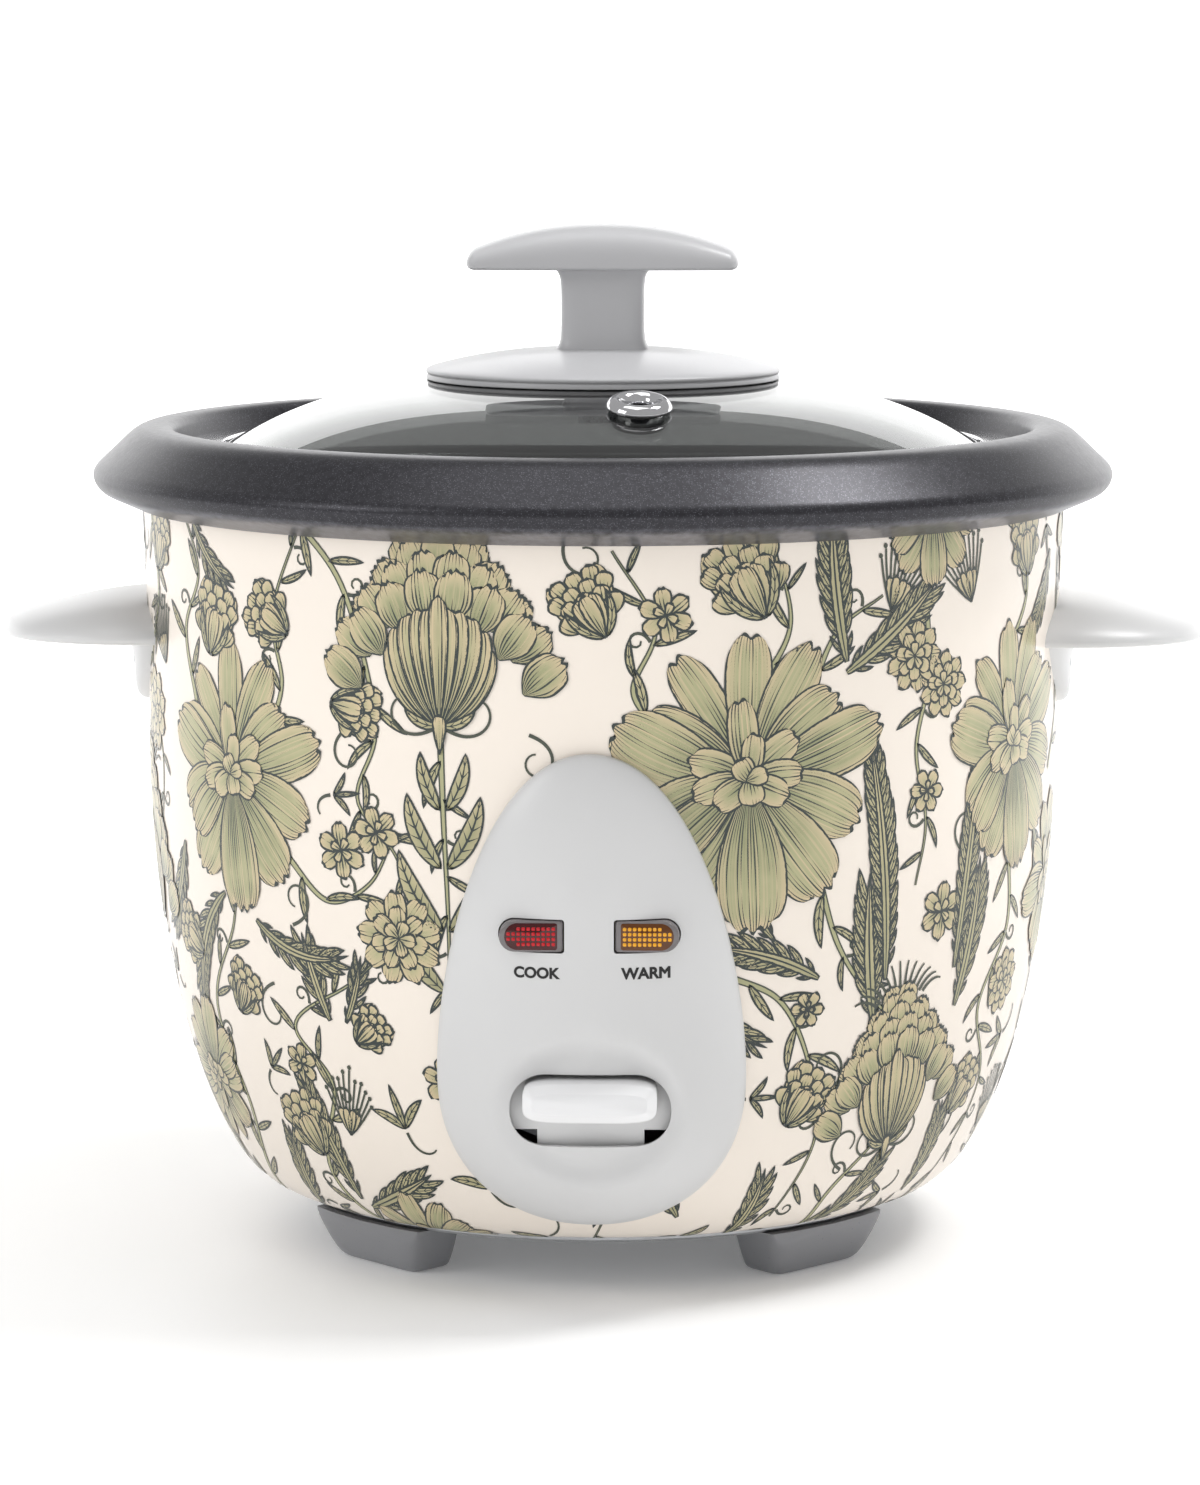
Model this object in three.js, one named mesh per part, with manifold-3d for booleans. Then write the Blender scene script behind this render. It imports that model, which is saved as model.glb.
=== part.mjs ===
// A small drum rice cooker: printed steel drum, egg-shaped control panel, two side handles,
// a lift-out cooking pot with a wide lip, and a glass lid with a T-shaped knob.
// Frame: millimetres, +Z up, origin on the floor under the drum's centre, front (panel) towards -Y.

import * as THREE from "three";
import { mergeVertices } from "three/addons/utils/BufferGeometryUtils.js";
import Module from "manifold-3d";

const wasm = await Module();
wasm.setup();

// ---------------------------------------------------------------- driving dimensions
const GAP = 0.3; // assembly gap between pieces that touch on the real object
const TURN = 2 * Math.PI;

const SEGMENTS = { large: 40, medium: 24, small: 12, tiny: 8 };

const drum = {
  radius: 92, // outside, at the top edge
  height: 138.6, // bottom edge to top edge
  wall: 0.9,
  bendHeight: 97.6, // height over which the wall curves in
  bendDrop: 2.21, // how late the curve starts
  bendRound: 1.72, // how round it ends
  taper: 0.7, // narrowing of the straight part
  footInset: 25, // how far the bottom edge lies inside the top edge
  flange: 5,
};

const foot = {
  height: 11.4, // floor to the drum's bottom edge
  count: 4,
  width: 31,
  toeWidth: 22,
  depth: 14,
  toeDepth: 9.5,
  inset: 1.4, // outer face inside the drum's bottom edge
  screwRadius: 1.6,
  screwHeadRadius: 3,
};

const floorPlate = { thickness: 1.4, inset: 2.4, slotCount: 18, slotLength: 15, slotWidth: 2.6 };

const works = {
  height: 58.6, // drum's bottom edge to the heating plate's top
  plateInset: 15, // heating plate inside the pot's outside
  plateThickness: 9,
  legHeight: 6,
  legRadius: 5,
  legInset: 11,
  elementRadius: 45,
  elementWidth: 11,
  elementDepth: 3.5,
  screwRadius: 1.7,
};

const liner = { wall: 0.6, gap: 6.5, cornerRadius: 3, hole: 22 };

const pot = {
  wall: 1.4,
  clearance: 3.4, // pot to liner
  cornerRadius: 9,
  seatRise: 7.5, // lid seat above the drum's top edge
  seatWidth: 4.6,
  wellDepth: 5.3, // lid seat to the lip's top
  lipTopWidth: 5.4,
  lipReach: 10.5, // lip outside the drum
  lipFall: 10.4, // lip's top to its widest point
  curlDrop: 5.4,
  curlClearance: 1.6, // curl's end outside the drum
};

const lid = {
  clearance: 2.4, // flange inside the seat's wall
  flangeHeight: 1.2,
  skirtClearance: 1, // band's skirt inside the pot
  skirtDepth: 4.2, // below the seat
  bandWall: 0.5,
  bandWidth: 1.6, // how far the band covers the glass
  glass: 3.2,
  rise: 14.4,
  roundness: 3.2, // exponent of the dome
  ventRadius: 2.5,
  ventOuter: 6.5,
  ventReach: 51, // vent from the lid's centre
  ventTurn: 9.2, // degrees to the right of the front
};

const knob = {
  baseRadius: 35.5,
  baseEdge: 1.9,
  baseRise: 5.1, // above the glass
  stemWidth: 16.6,
  stemDepth: 12,
  stemHeight: 15.4,
  barWidth: 54,
  barDepth: 21,
  barEdge: 4.6,
  barRise: 9.1,
  screwRadius: 2,
};

const handle = {
  drop: 30.4, // underside below the drum's top edge
  reach: 28.5,
  halfWidth: 27,
  edge: 3.6,
  rise: 10.2,
  shield: 12.4, // how far the mounting shield hangs below
  shieldDepth: 3.2,
  screwSpacing: 24,
  screwRadius: 1.6,
  screwHeadRadius: 2.8,
};

const panel = {
  waist: 35.5, // widest point above the drum's bottom edge
  upper: 61.5, // widest point to the top
  lower: 31.1, // widest point to the bottom
  halfWidth: 29,
  edge: 1.6,
  bulge: 8.6,
  belly: 0.35, // share of the drum's inward curve that the middle fills
  wall: 2,
};

const slot = {
  height: 14.3,
  halfWidth: 14.5,
  corner: 6.2,
  middle: 29.9, // above the drum's bottom edge
  dishDepth: 3.4,
  dishHalfWidth: 17.5,
  dishHalfHeight: 15,
};

const lamp = {
  rise: 64.1, // lens middle above the drum's bottom edge
  spread: 10.7, // each lens's middle from the panel's middle
  width: 11.8,
  height: 5.8,
  depth: 3.6,
  proud: 0.5,
  bulbRadius: 1.9,
  bulbLength: 2.2,
  board: 1.2,
};

const lever = {
  capWidth: 24.9,
  capHeight: 8.5,
  capCorner: 3.2,
  capMiddle: 32.3, // above the drum's bottom edge
  capReach: 5.6, // in front of the panel's dish
  travel: 4.8, // of the cap in the slot
  armWidth: 13,
  armThickness: 1.2,
  pinDrop: 10.7, // below the liner's floor
  pinRise: 7.4, // above the arm
  socketDrop: 5.3, // arm's front end below the slot's middle
  pinReach: 44, // in front of the drum's axis
  pinRadius: 1.4,
  skirtClearance: 3.2, // behind the panel's dish
  skirtThickness: 1.6,
  skirtHalfWidth: 15.6,
  skirtOverlap: 1.5, // beyond the slot's edges
  tongueHalfWidth: 10,
  tongueTop: 25.6, // above the drum's bottom edge
  switchReach: 13, // plunger in front of the pin
  switchHeight: 8.6,
  plungerHeight: 4.6,
};

const sensor = {
  capRadius: 18,
  capWall: 0.8,
  capHeight: 12,
  plateClearance: 0.6,
  ferriteRadius: 14.2,
  ferriteHeight: 4,
  housingRadius: 16,
  housingWall: 0.9,
  housingTop: 8, // below the heating plate's top
  housingFlange: 29,
  outerSpringRadius: 13.2,
  outerWire: 0.6,
  innerSpringRadius: 9.1,
  innerWire: 0.5,
  magnetRadius: 7.2,
  magnetFlange: 10.6,
  magnetHeight: 6.5,
  rodRadius: 1.9,
};

const inlet = {
  width: 30,
  height: 22,
  lift: 3.6, // above the middle of the space under the liner
  cavityWidth: 23,
  cavityHeight: 15,
  cavityDepth: 16,
  flange: 4,
  proud: 5,
  back: 5,
  pinLength: 10.5,
};

const warmPad = { height: 34, arc: 70, thickness: 1.6 };

// ---------------------------------------------------------------- derived places
const drumBottom = foot.height;
const drumTop = drumBottom + drum.height;
const bendTop = drumBottom + drum.bendHeight;
const drumFootRadius = drum.radius - drum.footInset;
const heaterTop = drumBottom + works.height;
const heaterBottom = heaterTop - works.plateThickness;
const linerFloor = heaterBottom - works.legHeight - GAP;
const linerOuter = drum.radius - drum.wall - liner.gap;
const linerInner = linerOuter - liner.wall;
const potOuter = linerInner - pot.clearance;
const potInner = potOuter - pot.wall;
const potBottom = heaterTop + GAP;
const seatZ = drumTop + pot.seatRise;
const seatOuter = potInner + 1 + pot.seatWidth;
const lipTop = seatZ + pot.wellDepth;
const lipRadius = drum.radius + pot.lipReach;
const plateRadius = potOuter - works.plateInset;
const bandOuter = seatOuter - lid.clearance;
const bandBottom = seatZ + GAP;
const bandTop = bandBottom + lid.flangeHeight;
const skirtOuter = potInner - lid.skirtClearance;
const skirtBottom = seatZ - lid.skirtDepth;
const glassEdgeTop = bandTop - lid.bandWall - GAP;
const glassRadius = skirtOuter - lid.bandWall - GAP;
const domeRadius = glassRadius - lid.bandWidth;
const glassTop = glassEdgeTop + lid.rise;
const pinZ = linerFloor - liner.wall - lever.pinDrop;
const armZ = pinZ - lever.pinRise;
const pinY = -lever.pinReach;
const panelWaist = drumBottom + panel.waist;
const slotZ = drumBottom + slot.middle;
const slotTop = slotZ + slot.height / 2;
const slotBottom = slotZ - slot.height / 2;
const lensZ = drumBottom + lamp.rise;
const capZ = drumBottom + lever.capMiddle;
const dishFace = drumFaceAt(0, slotZ) - panelDepthAt(0, slotZ, 0.2);
const skirtFace = dishFace + lever.skirtClearance;
const skirtRadius = pinY - skirtFace;
const socketZ = slotZ - lever.socketDrop;

// The drum's outside radius at a height: nearly straight, then a super-ellipse down to the bottom edge.
function drumRadiusAt(z) {
  if (z >= bendTop) return drum.radius - (drum.taper * (drumTop - z)) / (drumTop - bendTop);
  const u = Math.min(1, (bendTop - z) / drum.bendHeight);
  const straight = drum.radius - drum.taper;
  const round = (1 - u ** drum.bendDrop) ** (1 / drum.bendRound);
  return straight - (straight - drumFootRadius) * (1 - round);
}

// The glass dome's outside height at a radius.
function glassHeightAt(r) {
  if (r >= domeRadius) return glassEdgeTop;
  return glassEdgeTop + lid.rise * (1 - (r / domeRadius) ** lid.roundness);
}

// ---------------------------------------------------------------- shape helpers
const solidOf = (geometry) => {
  const plain = geometry.clone();
  for (const name of Object.keys(plain.attributes)) {
    if (name !== "position") plain.deleteAttribute(name);
  }
  const merged = mergeVertices(plain, 1e-3);
  return new wasm.Manifold(
    new wasm.Mesh({
      numProp: 3,
      vertProperties: merged.attributes.position.array,
      triVerts: new Uint32Array(merged.index.array),
    }),
  );
};

const geometryOf = (solid) => {
  const mesh = solid.getMesh();
  const geometry = new THREE.BufferGeometry();
  geometry.setAttribute("position", new THREE.BufferAttribute(mesh.vertProperties, 3));
  geometry.setIndex(new THREE.BufferAttribute(mesh.triVerts, 1));
  geometry.computeVertexNormals();
  return geometry;
};

const cut = (geometry, ...tools) =>
  geometryOf(tools.reduce((left, tool) => left.subtract(solidOf(tool)), solidOf(geometry)));

const join = (geometry, ...others) =>
  geometryOf(others.reduce((sum, other) => sum.add(solidOf(other)), solidOf(geometry)));

const common = (geometry, other) => geometryOf(solidOf(geometry).intersect(solidOf(other)));

// A closed profile of [radius, height] turned about Z.
function turned(profile, segments = SEGMENTS.medium) {
  const points = profile.map(([r, z]) => new THREE.Vector2(Math.max(r, 0), z));
  const onAxis = points[0].x === 0 && points[points.length - 1].x === 0;
  if (!onAxis) points.push(points[0].clone());
  if (THREE.ShapeUtils.area(points) < 0) points.reverse();
  return new THREE.LatheGeometry(points, segments).rotateX(Math.PI / 2);
}

// The closed profile of a sheet: a line of points and the same line moved sideways by its thickness.
function sheetProfile(line, thickness) {
  const moved = line.map((point, i) => {
    const before = line[Math.max(i - 1, 0)];
    const after = line[Math.min(i + 1, line.length - 1)];
    const dr = after[0] - before[0];
    const dz = after[1] - before[1];
    const length = Math.hypot(dr, dz);
    const inset = point[0] === 0 ? 0 : (-dz / length) * thickness;
    return [point[0] + inset, point[1] + (dr / length) * thickness];
  });
  return [...line, ...moved.reverse()];
}

// Points on an arc from angle a to angle b, in degrees.
function arc(r, z, radius, a, b, steps = 4) {
  return Array.from({ length: steps + 1 }, (_, i) => {
    const angle = THREE.MathUtils.degToRad(a + ((b - a) * i) / steps);
    return [r + radius * Math.cos(angle), z + radius * Math.sin(angle)];
  });
}

const block = (x0, x1, y0, y1, z0, z1) =>
  new THREE.BoxGeometry(x1 - x0, y1 - y0, z1 - z0).translate((x0 + x1) / 2, (y0 + y1) / 2, (z0 + z1) / 2);

const rod = (radius, z0, z1, segments = SEGMENTS.tiny) =>
  new THREE.CylinderGeometry(radius, radius, z1 - z0, segments)
    .rotateX(Math.PI / 2)
    .translate(0, 0, (z0 + z1) / 2);

// A rod along Y from y0 to y1.
const rodAlongY = (radius, y0, y1, segments = SEGMENTS.tiny) =>
  new THREE.CylinderGeometry(radius, radius, y1 - y0, segments).translate(0, (y0 + y1) / 2, 0);

// A flat outline in X and Z, with thickness along Y from y0 to y1.
function frontPlate(shape, y0, y1, curveSegments = 8) {
  const geometry = new THREE.ExtrudeGeometry(shape, { depth: y1 - y0, bevelEnabled: false, curveSegments });
  return geometry.rotateX(Math.PI / 2).translate(0, y1, 0);
}

function roundedBox(width, height, radius) {
  const w = width / 2 - radius;
  const h = height / 2 - radius;
  const shape = new THREE.Shape();
  shape.absarc(w, h, radius, 0, Math.PI / 2, false);
  shape.absarc(-w, h, radius, Math.PI / 2, Math.PI, false);
  shape.absarc(-w, -h, radius, Math.PI, 1.5 * Math.PI, false);
  shape.absarc(w, -h, radius, 1.5 * Math.PI, TURN, false);
  return shape;
}

// Moves every vertex of a geometry by a function of its place.
function warp(geometry, place) {
  const position = geometry.attributes.position;
  for (let i = 0; i < position.count; i += 1) {
    position.setXYZ(i, ...place(position.getX(i), position.getY(i), position.getZ(i)));
  }
  return geometry;
}

// A round section of the given number of sides, swept along a curve.
function swept(curve, radius, steps, sides = 8) {
  const shape = new THREE.Shape();
  for (let i = 0; i < sides; i += 1) {
    const angle = (TURN * i) / sides;
    const x = radius * Math.cos(angle);
    const y = radius * Math.sin(angle);
    if (i === 0) shape.moveTo(x, y);
    else shape.lineTo(x, y);
  }
  return new THREE.ExtrudeGeometry(shape, { steps, extrudePath: curve, bevelEnabled: false });
}

class Helix extends THREE.Curve {
  constructor(radius, z0, z1, turns) {
    super();
    Object.assign(this, { radius, z0, z1, turns });
  }
  getPoint(t, target = new THREE.Vector3()) {
    const angle = TURN * this.turns * t;
    return target.set(
      this.radius * Math.cos(angle),
      this.radius * Math.sin(angle),
      this.z0 + (this.z1 - this.z0) * t,
    );
  }
}

const coil = (radius, wire, z0, z1, turns) =>
  swept(new Helix(radius, z0 + wire, z1 - wire, turns), wire, Math.round(turns * 10), 5);

const screw = (shank, head, headHeight, length) =>
  turned([
    [0, 0],
    [head, 0],
    [head, -headHeight],
    [shank, -headHeight],
    [shank, -headHeight - length],
    [0, -headHeight - length],
  ], SEGMENTS.tiny);

// ---------------------------------------------------------------- finishes
const finish = (color, roughness, metalness = 0) => new THREE.MeshStandardMaterial({ color, roughness, metalness });
const finishes = {
  print: finish(0xf3ebdf, 0.35),
  coating: finish(0x4b4b50, 0.45, 0.3),
  glass: new THREE.MeshStandardMaterial({
    color: 0xdfe6e6,
    roughness: 0.05,
    transparent: true,
    opacity: 0.35,
  }),
  steel: finish(0xb9babb, 0.3, 1),
  sheetSteel: finish(0x9a9b9c, 0.5, 0.8),
  castAluminium: finish(0xa9abad, 0.5, 0.9),
  plastic: finish(0xdcdcdc, 0.4),
  footPlastic: finish(0x8f9092, 0.4),
  blackPlastic: finish(0x26262a, 0.5),
  redLens: finish(0xa8121c, 0.2),
  amberLens: finish(0xc98a10, 0.2),
  silicone: finish(0xcfcfcb, 0.7),
  ferrite: finish(0x3b3b3d, 0.8),
  springSteel: finish(0x85878a, 0.35, 1),
  brass: finish(0xb08a45, 0.35, 1),
  wire: finish(0xe9e5da, 0.6),
  mica: finish(0xb7a27a, 0.7),
};

const cooker = new THREE.Group();

function add(name, geometry, material, group = cooker) {
  const mesh = new THREE.Mesh(geometry, finishes[material]);
  mesh.name = name;
  group.add(mesh);
  return mesh;
}

// ---------------------------------------------------------------- drum, liner and floor plate
// Heights from the top edge down to the bottom edge, closer together where the wall curves most.
function drumHeights(steps) {
  const bend = Array.from({ length: steps }, (_, i) => {
    const s = (i + 1) / steps;
    return bendTop - drum.bendHeight * (1 - (1 - s) ** 1.7);
  });
  return [drumTop, bendTop, ...bend];
}

const drumLine = drumHeights(9).map((z) => [drumRadiusAt(z), z]);

// Everything inside the drum's outside surface grown by a clearance: a tool for cutting what lies on it.
function drumTool(clearance) {
  const top = drumTop + 40;
  return turned(
    [
      [0, top],
      [drum.radius + clearance, top],
      ...drumLine.map(([r, z]) => [r + clearance, z]),
      [drumFootRadius + clearance, drumBottom - clearance],
      [0, drumBottom - clearance],
    ],
    SEGMENTS.large,
  );
}

// The lever's skirt moves down by its travel, so everything round it leaves that much more room.
const skirtTop = slotTop + lever.travel + lever.skirtOverlap;
const tongueZ = drumBottom + lever.tongueTop;
const tongueBottom = slotBottom - lever.skirtOverlap;
const leverOpening = block(
  -lever.skirtHalfWidth - 1,
  lever.skirtHalfWidth + 1,
  -drum.radius,
  -drumFootRadius / 2,
  tongueBottom - lever.travel - 1,
  skirtTop + 1,
);

const handleZ = drumTop - handle.drop;
const handleScrewZ = handleZ - 3;
const panelScrewZ = [panelWaist + panel.upper - 12, panelWaist - panel.lower + 7];
const inletZ = (drumBottom + linerFloor) / 2 + inlet.lift;
const wireHole = { x: 0, z: lensZ, radius: 3 };

function makeDrum() {
  const holes = [leverOpening];
  for (const side of [-1, 1]) {
    for (const y of [-0.5, 0.5]) {
      holes.push(
        rodAlongY(handle.screwRadius + GAP, -drum.radius * 1.1, -drum.radius * 0.8)
          .rotateZ((-side * Math.PI) / 2)
          .translate(0, y * handle.screwSpacing, handleScrewZ),
      );
    }
  }
  for (const z of panelScrewZ) {
    holes.push(rodAlongY(handle.screwRadius + GAP, -drum.radius * 1.1, -drumFootRadius * 0.8).translate(0, 0, z));
  }
  holes.push(rodAlongY(wireHole.radius, -drum.radius * 1.1, -drum.radius * 0.8).translate(wireHole.x, 0, wireHole.z));
  holes.push(
    block(
      -inlet.width / 2 - GAP,
      inlet.width / 2 + GAP,
      drumFootRadius * 0.7,
      drum.radius * 1.1,
      inletZ - inlet.height / 2 - GAP,
      inletZ + inlet.height / 2 + GAP,
    ),
  );
  const line = [...drumLine, [drumFootRadius - drum.flange, drumBottom]];
  return cut(turned(sheetProfile(line.reverse(), drum.wall), SEGMENTS.large), ...holes);
}

const legCircle = plateRadius - works.legInset;
const legPlaces = [0, 1, 2].map((i) => THREE.MathUtils.degToRad(60 + 120 * i));
const terminalPlaces = [-14, 14].map((angle) => THREE.MathUtils.degToRad(90 + angle));

function makeLiner() {
  const corner = liner.cornerRadius;
  const profile = [
    [liner.hole, linerFloor],
    [linerInner - corner, linerFloor],
    ...arc(linerInner - corner, linerFloor + corner, corner, -90, 0, 3),
    [linerInner, drumTop + GAP + liner.wall],
    [drum.radius - GAP, drumTop + GAP + liner.wall],
    [drum.radius - GAP, drumTop + GAP],
    [linerOuter, drumTop + GAP],
    ...arc(linerInner - corner, linerFloor + corner, corner + liner.wall, 0, -90, 3),
    [liner.hole, linerFloor - liner.wall],
  ];
  const holes = legPlaces.map((a) =>
    rod(works.screwRadius + GAP, linerFloor - 3, linerFloor + 3).translate(
      legCircle * Math.cos(a),
      legCircle * Math.sin(a),
      0,
    ),
  );
  for (const a of terminalPlaces) {
    holes.push(
      rod(4, linerFloor - 3, linerFloor + 3, SEGMENTS.small).translate(
        works.elementRadius * Math.cos(a),
        works.elementRadius * Math.sin(a),
        0,
      ),
    );
  }
  return cut(turned(profile, SEGMENTS.large), ...holes);
}

const floorPlateTop = drumBottom - GAP;
const floorPlateBottom = floorPlateTop - floorPlate.thickness;
const floorPlateRadius = drumFootRadius - floorPlate.inset;
const footAngles = Array.from({ length: foot.count }, (_, i) =>
  THREE.MathUtils.degToRad(-90 + (360 / foot.count) * (i + 0.5)),
);
const footOuter = drumFootRadius - foot.inset;
const footScrewReach = drumFootRadius - drum.flange - foot.screwHeadRadius - 2 * GAP;

function makeFloorPlate() {
  const plate = turned([
    [0, floorPlateBottom],
    [floorPlateRadius - 0.5, floorPlateBottom],
    [floorPlateRadius, floorPlateBottom + 0.5],
    [floorPlateRadius, floorPlateTop],
    [0, floorPlateTop],
  ], SEGMENTS.large);
  const slots = Array.from({ length: floorPlate.slotCount }, (_, i) =>
    block(
      floorPlateRadius * 0.42,
      floorPlateRadius * 0.42 + floorPlate.slotLength,
      -floorPlate.slotWidth / 2,
      floorPlate.slotWidth / 2,
      floorPlateBottom - 2,
      floorPlateTop + 2,
    ).rotateZ((TURN * i) / floorPlate.slotCount),
  );
  const holes = footAngles.map((a) =>
    rod(foot.screwRadius + GAP, floorPlateBottom - 2, floorPlateTop + 2).translate(
      footScrewReach * Math.cos(a),
      footScrewReach * Math.sin(a),
      0,
    ),
  );
  return cut(plate, ...slots, ...holes);
}

// A foot: a rounded block, wider at the top, whose outer face leans in towards the toe.
function makeFoot() {
  const top = floorPlateBottom - GAP;
  const plan = roundedBox(foot.depth, foot.width, 3.5);
  const body = new THREE.ExtrudeGeometry(plan, { depth: top, steps: 3, bevelEnabled: false, curveSegments: 3 });
  warp(body, (x, y, z) => {
    const t = 1 - z / top;
    const narrow = 1 + (foot.toeWidth / foot.width - 1) * t ** 1.5;
    const shallow = 1 + (foot.toeDepth / foot.depth - 1) * t ** 1.5;
    const fromBack = (x + foot.depth / 2) * shallow;
    return [footOuter - foot.depth + fromBack, y * narrow, z];
  });
  const round = rod(footOuter, -1, top + 1, SEGMENTS.large);
  const hole = rod(foot.screwRadius + GAP, top - 6, top + 2).translate(footScrewReach, 0, 0);
  return cut(common(body, round), hole);
}

add("outer_shell", makeDrum(), "print");
add("inner_liner", makeLiner(), "sheetSteel");
add("floor_plate", makeFloorPlate(), "sheetSteel");

footAngles.forEach((angle, i) => {
  const station = new THREE.Group();
  station.rotation.z = angle;
  cooker.add(station);
  add(`foot_${i + 1}`, makeFoot(), "footPlastic", station);
  const fixing = add(
    `foot_screw_${i + 1}`,
    screw(foot.screwRadius, foot.screwHeadRadius, 1.6, floorPlate.thickness + 5),
    "steel",
    station,
  );
  fixing.position.set(footScrewReach, 0, floorPlateTop + GAP + 1.6);
});

// ---------------------------------------------------------------- heating plate and its fixings
function makeHeatingPlate() {
  const hole = sensor.capRadius + sensor.plateClearance;
  const ring = works.elementRadius;
  const half = works.elementWidth / 2;
  const under = heaterBottom + works.elementDepth;
  const plate = turned(
    [
      [hole, heaterTop],
      [plateRadius - 3, heaterTop],
      [plateRadius, heaterTop - 2.2],
      [plateRadius, under - 1],
      [plateRadius - 2, under],
      [ring + half, under],
      [ring + half - 1.5, heaterBottom],
      [ring - half + 1.5, heaterBottom],
      [ring - half, under],
      [hole, under],
    ],
    SEGMENTS.large,
  );
  const legs = legPlaces.map((a) =>
    rod(works.legRadius, linerFloor + GAP, under + 1, SEGMENTS.small).translate(
      legCircle * Math.cos(a),
      legCircle * Math.sin(a),
      0,
    ),
  );
  const taps = legPlaces.map((a) =>
    rod(works.screwRadius + GAP, linerFloor - 2, heaterBottom + 1).translate(
      legCircle * Math.cos(a),
      legCircle * Math.sin(a),
      0,
    ),
  );
  return cut(join(plate, ...legs), ...taps);
}

add("heating_plate", makeHeatingPlate(), "castAluminium");

legPlaces.forEach((a, i) => {
  const piece = add(`heater_screw_${i + 1}`, screw(works.screwRadius, 3.2, 1.8, 6), "steel");
  piece.rotation.x = Math.PI;
  piece.position.set(
    legCircle * Math.cos(a),
    legCircle * Math.sin(a),
    linerFloor - liner.wall - GAP - 1.8,
  );
});

terminalPlaces.forEach((a, i) => {
  const piece = add(
    `heater_terminal_${i + 1}`,
    turned([
      [0, heaterBottom - GAP],
      [3.2, heaterBottom - GAP],
      [3.2, heaterBottom - 3],
      [1.6, heaterBottom - 3],
      [1.6, heaterBottom - 13],
      [0, heaterBottom - 13],
    ], SEGMENTS.tiny),
    "steel",
  );
  piece.position.set(works.elementRadius * Math.cos(a), works.elementRadius * Math.sin(a), 0);
});

const fusePlace = new THREE.Vector3(-30, 30, linerFloor - liner.wall - 4.5);
add("thermal_fuse", rodAlongY(2.2, -8, 8), "wire").position.copy(fusePlace);

function makeWarmPad() {
  const inner = linerOuter + GAP;
  const half = THREE.MathUtils.degToRad(warmPad.arc / 2);
  const shape = new THREE.Shape();
  shape.absarc(0, 0, inner + warmPad.thickness, Math.PI / 2 - half, Math.PI / 2 + half, false);
  shape.absarc(0, 0, inner, Math.PI / 2 + half, Math.PI / 2 - half, true);
  return new THREE.ExtrudeGeometry(shape, { depth: warmPad.height, bevelEnabled: false, curveSegments: 14 });
}

add("keep_warm_pad", makeWarmPad(), "mica").position.z = (heaterTop + drumTop - warmPad.height) / 2;

// ---------------------------------------------------------------- thermostat: sensor, magnet and springs
const housingTop = heaterTop - sensor.housingTop;
const forkTop = armZ + lever.armThickness / 2;
const forkBottom = armZ - lever.armThickness / 2;
const collar = { radius: 4.4, height: 1.4, play: 1 };
const capRadius = pinY - dishFace;
const magnetRise = (lever.travel * lever.pinReach) / capRadius;
const housingBottom = forkTop + collar.play + collar.height + magnetRise + 2 * GAP + lever.capReach / 20;
const flangeZ = linerFloor - liner.wall - GAP;
const ferriteTop = heaterTop - sensor.capWall - 2 * GAP;
const ferriteBottom = ferriteTop - sensor.ferriteHeight;
const magnetTop = ferriteBottom - magnetRise - GAP;
const magnetBottom = magnetTop - sensor.magnetHeight;

function makeSensorHousing() {
  const outer = sensor.housingRadius;
  const inner = outer - sensor.housingWall;
  const hole = sensor.rodRadius + 2 * GAP;
  return turned([
    [hole, housingBottom],
    [outer, housingBottom],
    [outer, flangeZ - 1],
    [sensor.housingFlange, flangeZ - 1],
    [sensor.housingFlange, flangeZ],
    [outer, flangeZ],
    [outer, housingTop],
    [inner, housingTop],
    [inner, housingBottom + 1],
    [hole, housingBottom + 1],
  ]);
}

function makeSensorCap() {
  const outer = sensor.capRadius;
  const inner = outer - sensor.capWall;
  const top = heaterTop - GAP / 2;
  return turned([
    [0, top],
    [outer - 1, top],
    [outer, top - 1],
    [outer, top - sensor.capHeight],
    [inner, top - sensor.capHeight],
    [inner, top - sensor.capWall],
    [0, top - sensor.capWall],
  ]);
}

const magnetProfile = [
  [0, magnetTop],
  [sensor.magnetRadius, magnetTop],
  [sensor.magnetRadius, magnetBottom + 1.5],
  [sensor.magnetFlange, magnetBottom + 1.5],
  [sensor.magnetFlange, magnetBottom],
  [0, magnetBottom],
];

// The pull rod hangs from the magnet and has a collar above the lever's fork and a button below it.
const rodProfile = [
  [0, magnetBottom - GAP],
  [sensor.rodRadius, magnetBottom - GAP],
  [sensor.rodRadius, forkTop + collar.play + collar.height],
  [collar.radius, forkTop + collar.play + collar.height],
  [collar.radius, forkTop + collar.play],
  [sensor.rodRadius, forkTop + collar.play],
  [sensor.rodRadius, forkBottom - collar.play],
  [collar.radius, forkBottom - collar.play],
  [collar.radius, forkBottom - collar.play - collar.height],
  [0, forkBottom - collar.play - collar.height],
];

add("sensor_housing", makeSensorHousing(), "sheetSteel");
add("sensor_cap", makeSensorCap(), "castAluminium");
add("sensor_ferrite", rod(sensor.ferriteRadius, ferriteBottom, ferriteTop, SEGMENTS.medium), "ferrite");
add(
  "sensor_spring",
  coil(sensor.outerSpringRadius, sensor.outerWire, housingBottom + 1 + GAP, ferriteBottom - GAP, 5),
  "springSteel",
);
add("magnet", turned(magnetProfile), "ferrite");
add(
  "magnet_spring",
  coil(sensor.innerSpringRadius, sensor.innerWire, magnetBottom + 1.5 + GAP, ferriteBottom - GAP, 4),
  "springSteel",
);
add("pull_rod", turned(rodProfile, SEGMENTS.small), "steel");

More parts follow.
